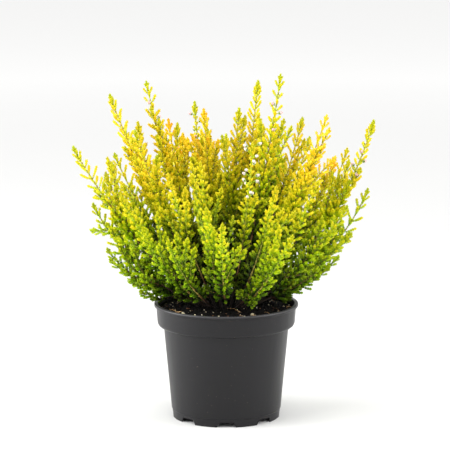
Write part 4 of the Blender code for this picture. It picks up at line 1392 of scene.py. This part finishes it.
def add_wood(foliage, line, first_radius, draws, paleness):
    """The woody stalk of a line, thinner towards its tip, with slight knots."""
    course = Course(line)
    rings = max(FEWEST_RINGS, int(course.whole / WOOD_RING_PITCH))
    at = np.linspace(0.0, course.whole - SPEAR_LENGTH / 2, rings)
    points = np.array([course.place(run) for run in at])
    if line.parent is None:
        points = np.concatenate([[(*points[0][:2], STEM_FOOT)], points])
        at = np.concatenate([[0.0], at])
    share = at / course.whole
    radii = first_radius + (WOOD_TIP_RADIUS - first_radius) * share ** WOOD_TAPER
    radii = radii * draws.uniform(1.0 - KNOT_SHARE, 1.0 + KNOT_SHARE, len(at))
    corners, faces = tube_arrays(points, radii, WOOD_SIDES)
    age_and_shade = np.interp(share, WOOD_AGE_AT, np.add(WOOD_AGES_AND_SHADE, (0.0, 0.0, paleness, paleness)))
    age_and_shade = np.concatenate([np.repeat(age_and_shade, WOOD_SIDES), age_and_shade[:1], age_and_shade[-1:]])
    foliage.add(corners, faces, WOOD, np.column_stack([age_and_shade, age_and_shade, age_and_shade]))


# The flower buds: white to pale pink bells, 4 mm long, each in a green calyx at the end of
# a short curved stalk. They stand near the tips of five stems, most of them on one spike.

# For each stem: from and to how far below its tip, how many, and the share of a shoot's
# full length that the shoots among them have.
FLOWERING = {
    "left_3": (0.022, 0.036, 2, 0.9),
    "middle_2": (0.014, 0.034, 4, 0.5),
    "middle_7": (0.022, 0.050, 5, 0.8),
    "right_6": (0.026, 0.052, 5, 0.8),
    "front_7": (0.006, 0.050, 8, 0.5),
}
# Lengths and pinkness come in pairs: on most stems, and on the one full spike.
BUD_LENGTHS = (0.0075, 0.0095)
BUD_PINK = (1.0, 0.2)
BUD_LEAN = math.radians(52.0)
BELL_LENGTH = 0.0040
BELL_RADIUS = 0.00138
BELL_SIDES = 8
BELL_OUTLINE = ((0.0, 0.35), (0.15, 0.75), (0.40, 1.0), (0.70, 0.78), (0.90, 0.42), (1.0, 0.06))
BUD_STALK_RADIUS = 0.00038
BUD_STALK_RINGS = 5
BUD_STALK_SIDES = 5
BUD_STALK_TINT = (0.30, 0.3, 1.0)
BUD_DROOP = 0.35
CALYX_LEAVES = 4
CALYX_RADIUS = 0.35 * BELL_RADIUS
CALYX_SIZE = 0.78
CALYX_FLARE = math.radians(22.0)
CALYX_TINT = (0.10, 0.0, 0.8)
FULL_SPIKE = 6
PARTNER_BELOW = 0.0022
PARTNER_TURN = math.pi * 0.9


def add_bud(foliage, root, direction, reach, pink):
    """A curved stalk, a calyx of four scale leaves, and a pointed bell."""
    stalk_length = reach - BELL_LENGTH
    share = np.linspace(0.0, 1.0, BUD_STALK_RINGS)[:, None]
    bow = unit(direction + UP)
    stalk = root + stalk_length * (share * bow + share ** 2 * (direction - bow))
    radii = np.full(BUD_STALK_RINGS, BUD_STALK_RADIUS)
    foliage.add(*tube_arrays(stalk, radii, BUD_STALK_SIDES), LEAF, BUD_STALK_TINT)
    aim = unit(direction - BUD_DROOP * UP)
    run, wide = np.array(BELL_OUTLINE).T
    spine = stalk[-1] + run[:, None] * BELL_LENGTH * aim
    corners, faces = tube_arrays(spine, wide * BELL_RADIUS, BELL_SIDES)
    blush = np.concatenate([np.repeat(run, BELL_SIDES), [0.0, 1.0]])
    foliage.add(corners, faces, PETAL, np.column_stack([blush, np.full(len(blush), pink), blush]))
    spare = np.eye(3)[np.argmin(np.abs(aim))]
    across = unit(np.cross(aim, spare))
    third = np.cross(aim, across)
    angles = (np.arange(CALYX_LEAVES) / CALYX_LEAVES * math.tau)[:, None]
    out = np.cos(angles) * across + np.sin(angles) * third
    base = np.repeat(stalk[-1:], CALYX_LEAVES, axis=0) + out * CALYX_RADIUS
    add_leaves(foliage, base, np.repeat(aim[None], CALYX_LEAVES, axis=0), out,
               np.full(CALYX_LEAVES, CALYX_SIZE), np.full(CALYX_LEAVES, CALYX_FLARE),
               np.array([CALYX_TINT] * CALYX_LEAVES))


def add_buds(foliage, line, first, last, count):
    """The buds of one stem: a spiral below its tip, and on the full spike twice as many."""
    course = Course(line)
    full = count >= FULL_SPIKE
    for i in range(count):
        places = [(first + (last - first) * i / (count - 1), GOLDEN_ANGLE * i)]
        if full:
            places.append((places[0][0] + PARTNER_BELOW, places[0][1] + PARTNER_TURN))
        for to_tip, angle in places:
            place = course.frame(to_tip)
            direction = lean_out(place, angle, BUD_LEAN)
            add_bud(foliage, place[0], direction, BUD_LENGTHS[full], BUD_PINK[full])


def petal_finish():
    """Thin white petals, flushed pale pink towards the mouth on some of the buds."""
    finish, tree, shader, place = new_finish("heather_petals")
    run, pink, _ = tint_parts(tree)
    veins = speckle(tree, place, 800.0, 2.0, span=(0.3, 0.7), level=(0.7, 1.0))["Level"]
    flush = combined(tree, "MULTIPLY", ranged(tree, run, 0.0, 0.8), pink)
    flush = combined(tree, "MULTIPLY", flush, veins)
    colour = blended(tree, flush, paint(216, 208, 198), paint(222, 168, 172))
    feed(tree, shader, {"Base Color": colour, "Roughness": 0.5})
    return finish


# The leafy stems: each is one piece, in place of its solid, as its wood, its twigs, all their
# shoots and its buds have grown together. Tone is how much greener or riper than its
# neighbours a stem has grown.
TONES = {
    "left_4": 0.05, "left_5": -0.03, "left_6": -0.06,
    "middle_1": 0.15, "middle_2": -0.07, "middle_3": 0.12, "middle_6": -0.05,
    "middle_7": -0.08, "middle_9": -0.16,
    "right_3": 0.10, "right_5": 0.13, "right_6": -0.08, "right_7": -0.10,
}
TONE_SPREAD = 0.06
RIPE_TONE = 0.10
INNER_TONE = 0.04

# How the stems of each group have grown: the pitch of their pairs of shoots, the share of a
# shoot's full length that theirs have, how far below the tip the pairs turn into crosses,
# how far those shoots spread (degrees), how lime the spear is, and how pale the young wood.
HABITS = {
    "left": (0.0053, 1.0, 0.050, 9.0, 0.85, 0.10),
    "middle": (0.0053, 1.0, 0.040, 5.0, 0.75, 0.12),
    "right": (0.0053, 1.0, 0.050, 9.0, 0.80, 0.12),
    "front": (0.0060, 0.82, 0.014, 13.0, 0.45, 0.50),
    "back": (0.0053, 1.0, 0.050, 7.0, 0.50, 0.10),
}
STEM_SEED = 900
SHOOT_SEED = 100
LEAFLESS_LENGTH = 0.018
BRANCH_LEAFLESS_LENGTH = 0.008
BUD_MARGIN = 0.003

# The branches and twigs inside the bush: seed, radius of the wood, leafless length, share
# of a shoot's full length, share of the spear's lime, and brightness, a painted shade that
# darkens their leaves.
INNER_LINES = [
    (infills, 1000, INFILL_WOOD_RADIUS, BRANCH_LEAFLESS_LENGTH, 0.82, 0.7, 0.90),
    (twigs, 2000, TWIG_WOOD_RADIUS, 0.004, 0.64, 0.5, 0.78),
]

finishes = [wood_finish(), leaf_finish(), petal_finish()]
for stem, (name, tip, _, _) in enumerate(rows):
    foliage = Foliage()
    draws = np.random.default_rng(STEM_SEED + stem)
    pitch, full, cross_below, spread, spear_lime, pale = HABITS[name.split("_")[0]]
    tone = TONES.get(name, 0.0)
    lime = 0.0 if tone >= RIPE_TONE else spear_lime
    tone = tone + draws.uniform(-TONE_SPREAD, TONE_SPREAD)
    first, last, buds, leafy = FLOWERING.get(name, (0.0, 0.0, 0, 1.0))
    for number, line in enumerate(lines):
        if line.stem != stem:
            continue
        own = line.parent is None
        bare = LEAFLESS_LENGTH if own else BRANCH_LEAFLESS_LENGTH
        zone = (first - BUD_MARGIN, last + BUD_MARGIN, leafy) if own else (0.0, 0.0, 1.0)
        add_wood(foliage, line, WOOD_FOOT_RADIUS if own else TWIG_WOOD_RADIUS, draws, pale)
        add_line_shoots(foliage, line, SHOOT_SEED + number, bare, full, tone, lime, 1.0, pitch,
                        zone, cross_below if own else 1.0, math.radians(spread))
        if own and buds:
            add_buds(foliage, line, first, last, buds)
    for inner, seed, radius, bare, share, limes, painted_brightness in INNER_LINES:
        for number, line in enumerate(inner):
            if line.stem == stem:
                add_wood(foliage, line, radius, draws, pale)
                add_line_shoots(foliage, line, seed + number, bare, share * full,
                                min(tone, INNER_TONE), lime * limes, painted_brightness)
    bush = foliage.make("heather_" + name, finishes)
    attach(bush, "root")
    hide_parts("stem_" + name)


# The set: a plain pale floor, painted lighter near the pot as a painted pool of light and
# glowing further out as painted light, so that it looks lit evenly far behind the pot; large
# soft lights from the left, the front, the right and above; and a white surround, as for a
# product picture.
FLOOR_HALF = 9.0
# The painted pool of light fades between the first two distances from the pot's axis, and the
# paper's painted glow grows between the next two.
PAINTED_POOL_NEAR = 0.10
PAINTED_POOL_FAR = 0.60
GLOW_NEAR = 0.45
GLOW_FAR = 2.6
GLOW_STRENGTH = 0.44
FRONT_DARKEST = -0.9
FRONT_EDGE = 0.1
FRONT_STRENGTH = 0.15
SURROUND_STRENGTH = 0.90

floor = mesh_object("floor", [(-FLOOR_HALF, -FLOOR_HALF, 0.0), (FLOOR_HALF, -FLOOR_HALF, 0.0),
                              (FLOOR_HALF, FLOOR_HALF, 0.0), (-FLOOR_HALF, FLOOR_HALF, 0.0)],
                    [(0, 1, 2, 3)])
floor_paper, tree, shader, place = new_finish("floor_paper")
far = shader_node(tree, "VectorMath", {0: place}, operation="LENGTH").outputs["Value"]
# Painted pool of light: the paper is painted lighter near the pot than far from it.
paper_with_painted_pool = blended(tree, ranged(tree, far, PAINTED_POOL_NEAR, PAINTED_POOL_FAR), paint(222, 222, 221),
                paint(204, 204, 203))
clouds = speckle(tree, place, 3.0, span=(0.3, 0.7), level=(0.0, 0.04))["Level"]
paper_with_painted_pool = blended(tree, clouds, paper_with_painted_pool, paint(190, 190, 190))
# Painted light: the paper glows, more the further it lies from the pot, though it is no lamp.
painted_glow = ranged(tree, far, GLOW_NEAR, GLOW_FAR, 0.0, GLOW_STRENGTH)
feed(tree, shader, {"Base Color": paper_with_painted_pool, "Roughness": 0.9, "Emission Strength": painted_glow,
                    "Emission Color": (1.0, 1.0, 0.995, 1.0)})
floor.data.materials.append(floor_paper)

# Each light's name, place, the height on the pot's axis that it faces, size and power.
LIGHTS = [
    ("key", (-1.5, -0.9, 1.3), 0.14, 1.3, 26.0),
    ("front", (0.4, -2.1, 1.6), 0.14, 1.6, 24.0),
    ("side", (-1.5, -0.1, 0.45), 0.05, 0.9, 25.0),
    ("fill", (1.6, -0.4, 0.7), 0.08, 1.2, 23.0),
    ("top", (0.0, 0.2, 1.8), 0.10, 2.0, 15.0),
]

for name, place, faced, size, power in LIGHTS:
    lamp = bpy.data.lights.new(name, "AREA")
    lamp.size = size
    lamp.energy = power
    item = bpy.data.objects.new(name, lamp)
    item.location = place
    aim = Vector((0.0, 0.0, faced)) - Vector(place)
    item.rotation_euler = aim.to_track_quat("-Z", "Y").to_euler()
    bpy.context.scene.collection.objects.link(item)

world = bpy.data.worlds.new("surround")
world.use_nodes = True
tree = world.node_tree
facing = shader_node(tree, "TexCoord").outputs["Generated"]
depth = shader_node(tree, "SeparateXYZ", {"Vector": facing}).outputs["Y"]
strength = ranged(tree, depth, FRONT_DARKEST, FRONT_EDGE, FRONT_STRENGTH, SURROUND_STRENGTH)
feed(tree, tree.nodes["Background"], {"Strength": strength, "Color": (1.0, 1.0, 1.0, 1.0)})
bpy.context.scene.world = world
bpy.context.scene.view_settings.view_transform = "Standard"

# The camera stands about two metres away with a long lens, and looks slightly down.
CAMERA_PLACE = (-0.001, -1.9, 0.4913)
CAMERA_PITCH = math.radians(9.85)
CAMERA_LENS = 186.1
CAMERA_SENSOR = 36.0

camera = bpy.data.objects.new("camera", bpy.data.cameras.new("camera"))
camera.data.lens = CAMERA_LENS
camera.data.sensor_width = CAMERA_SENSOR
camera.location = CAMERA_PLACE
camera.rotation_euler = (math.pi / 2 - CAMERA_PITCH, 0.0, 0.0)
bpy.context.scene.collection.objects.link(camera)
bpy.context.scene.camera = camera
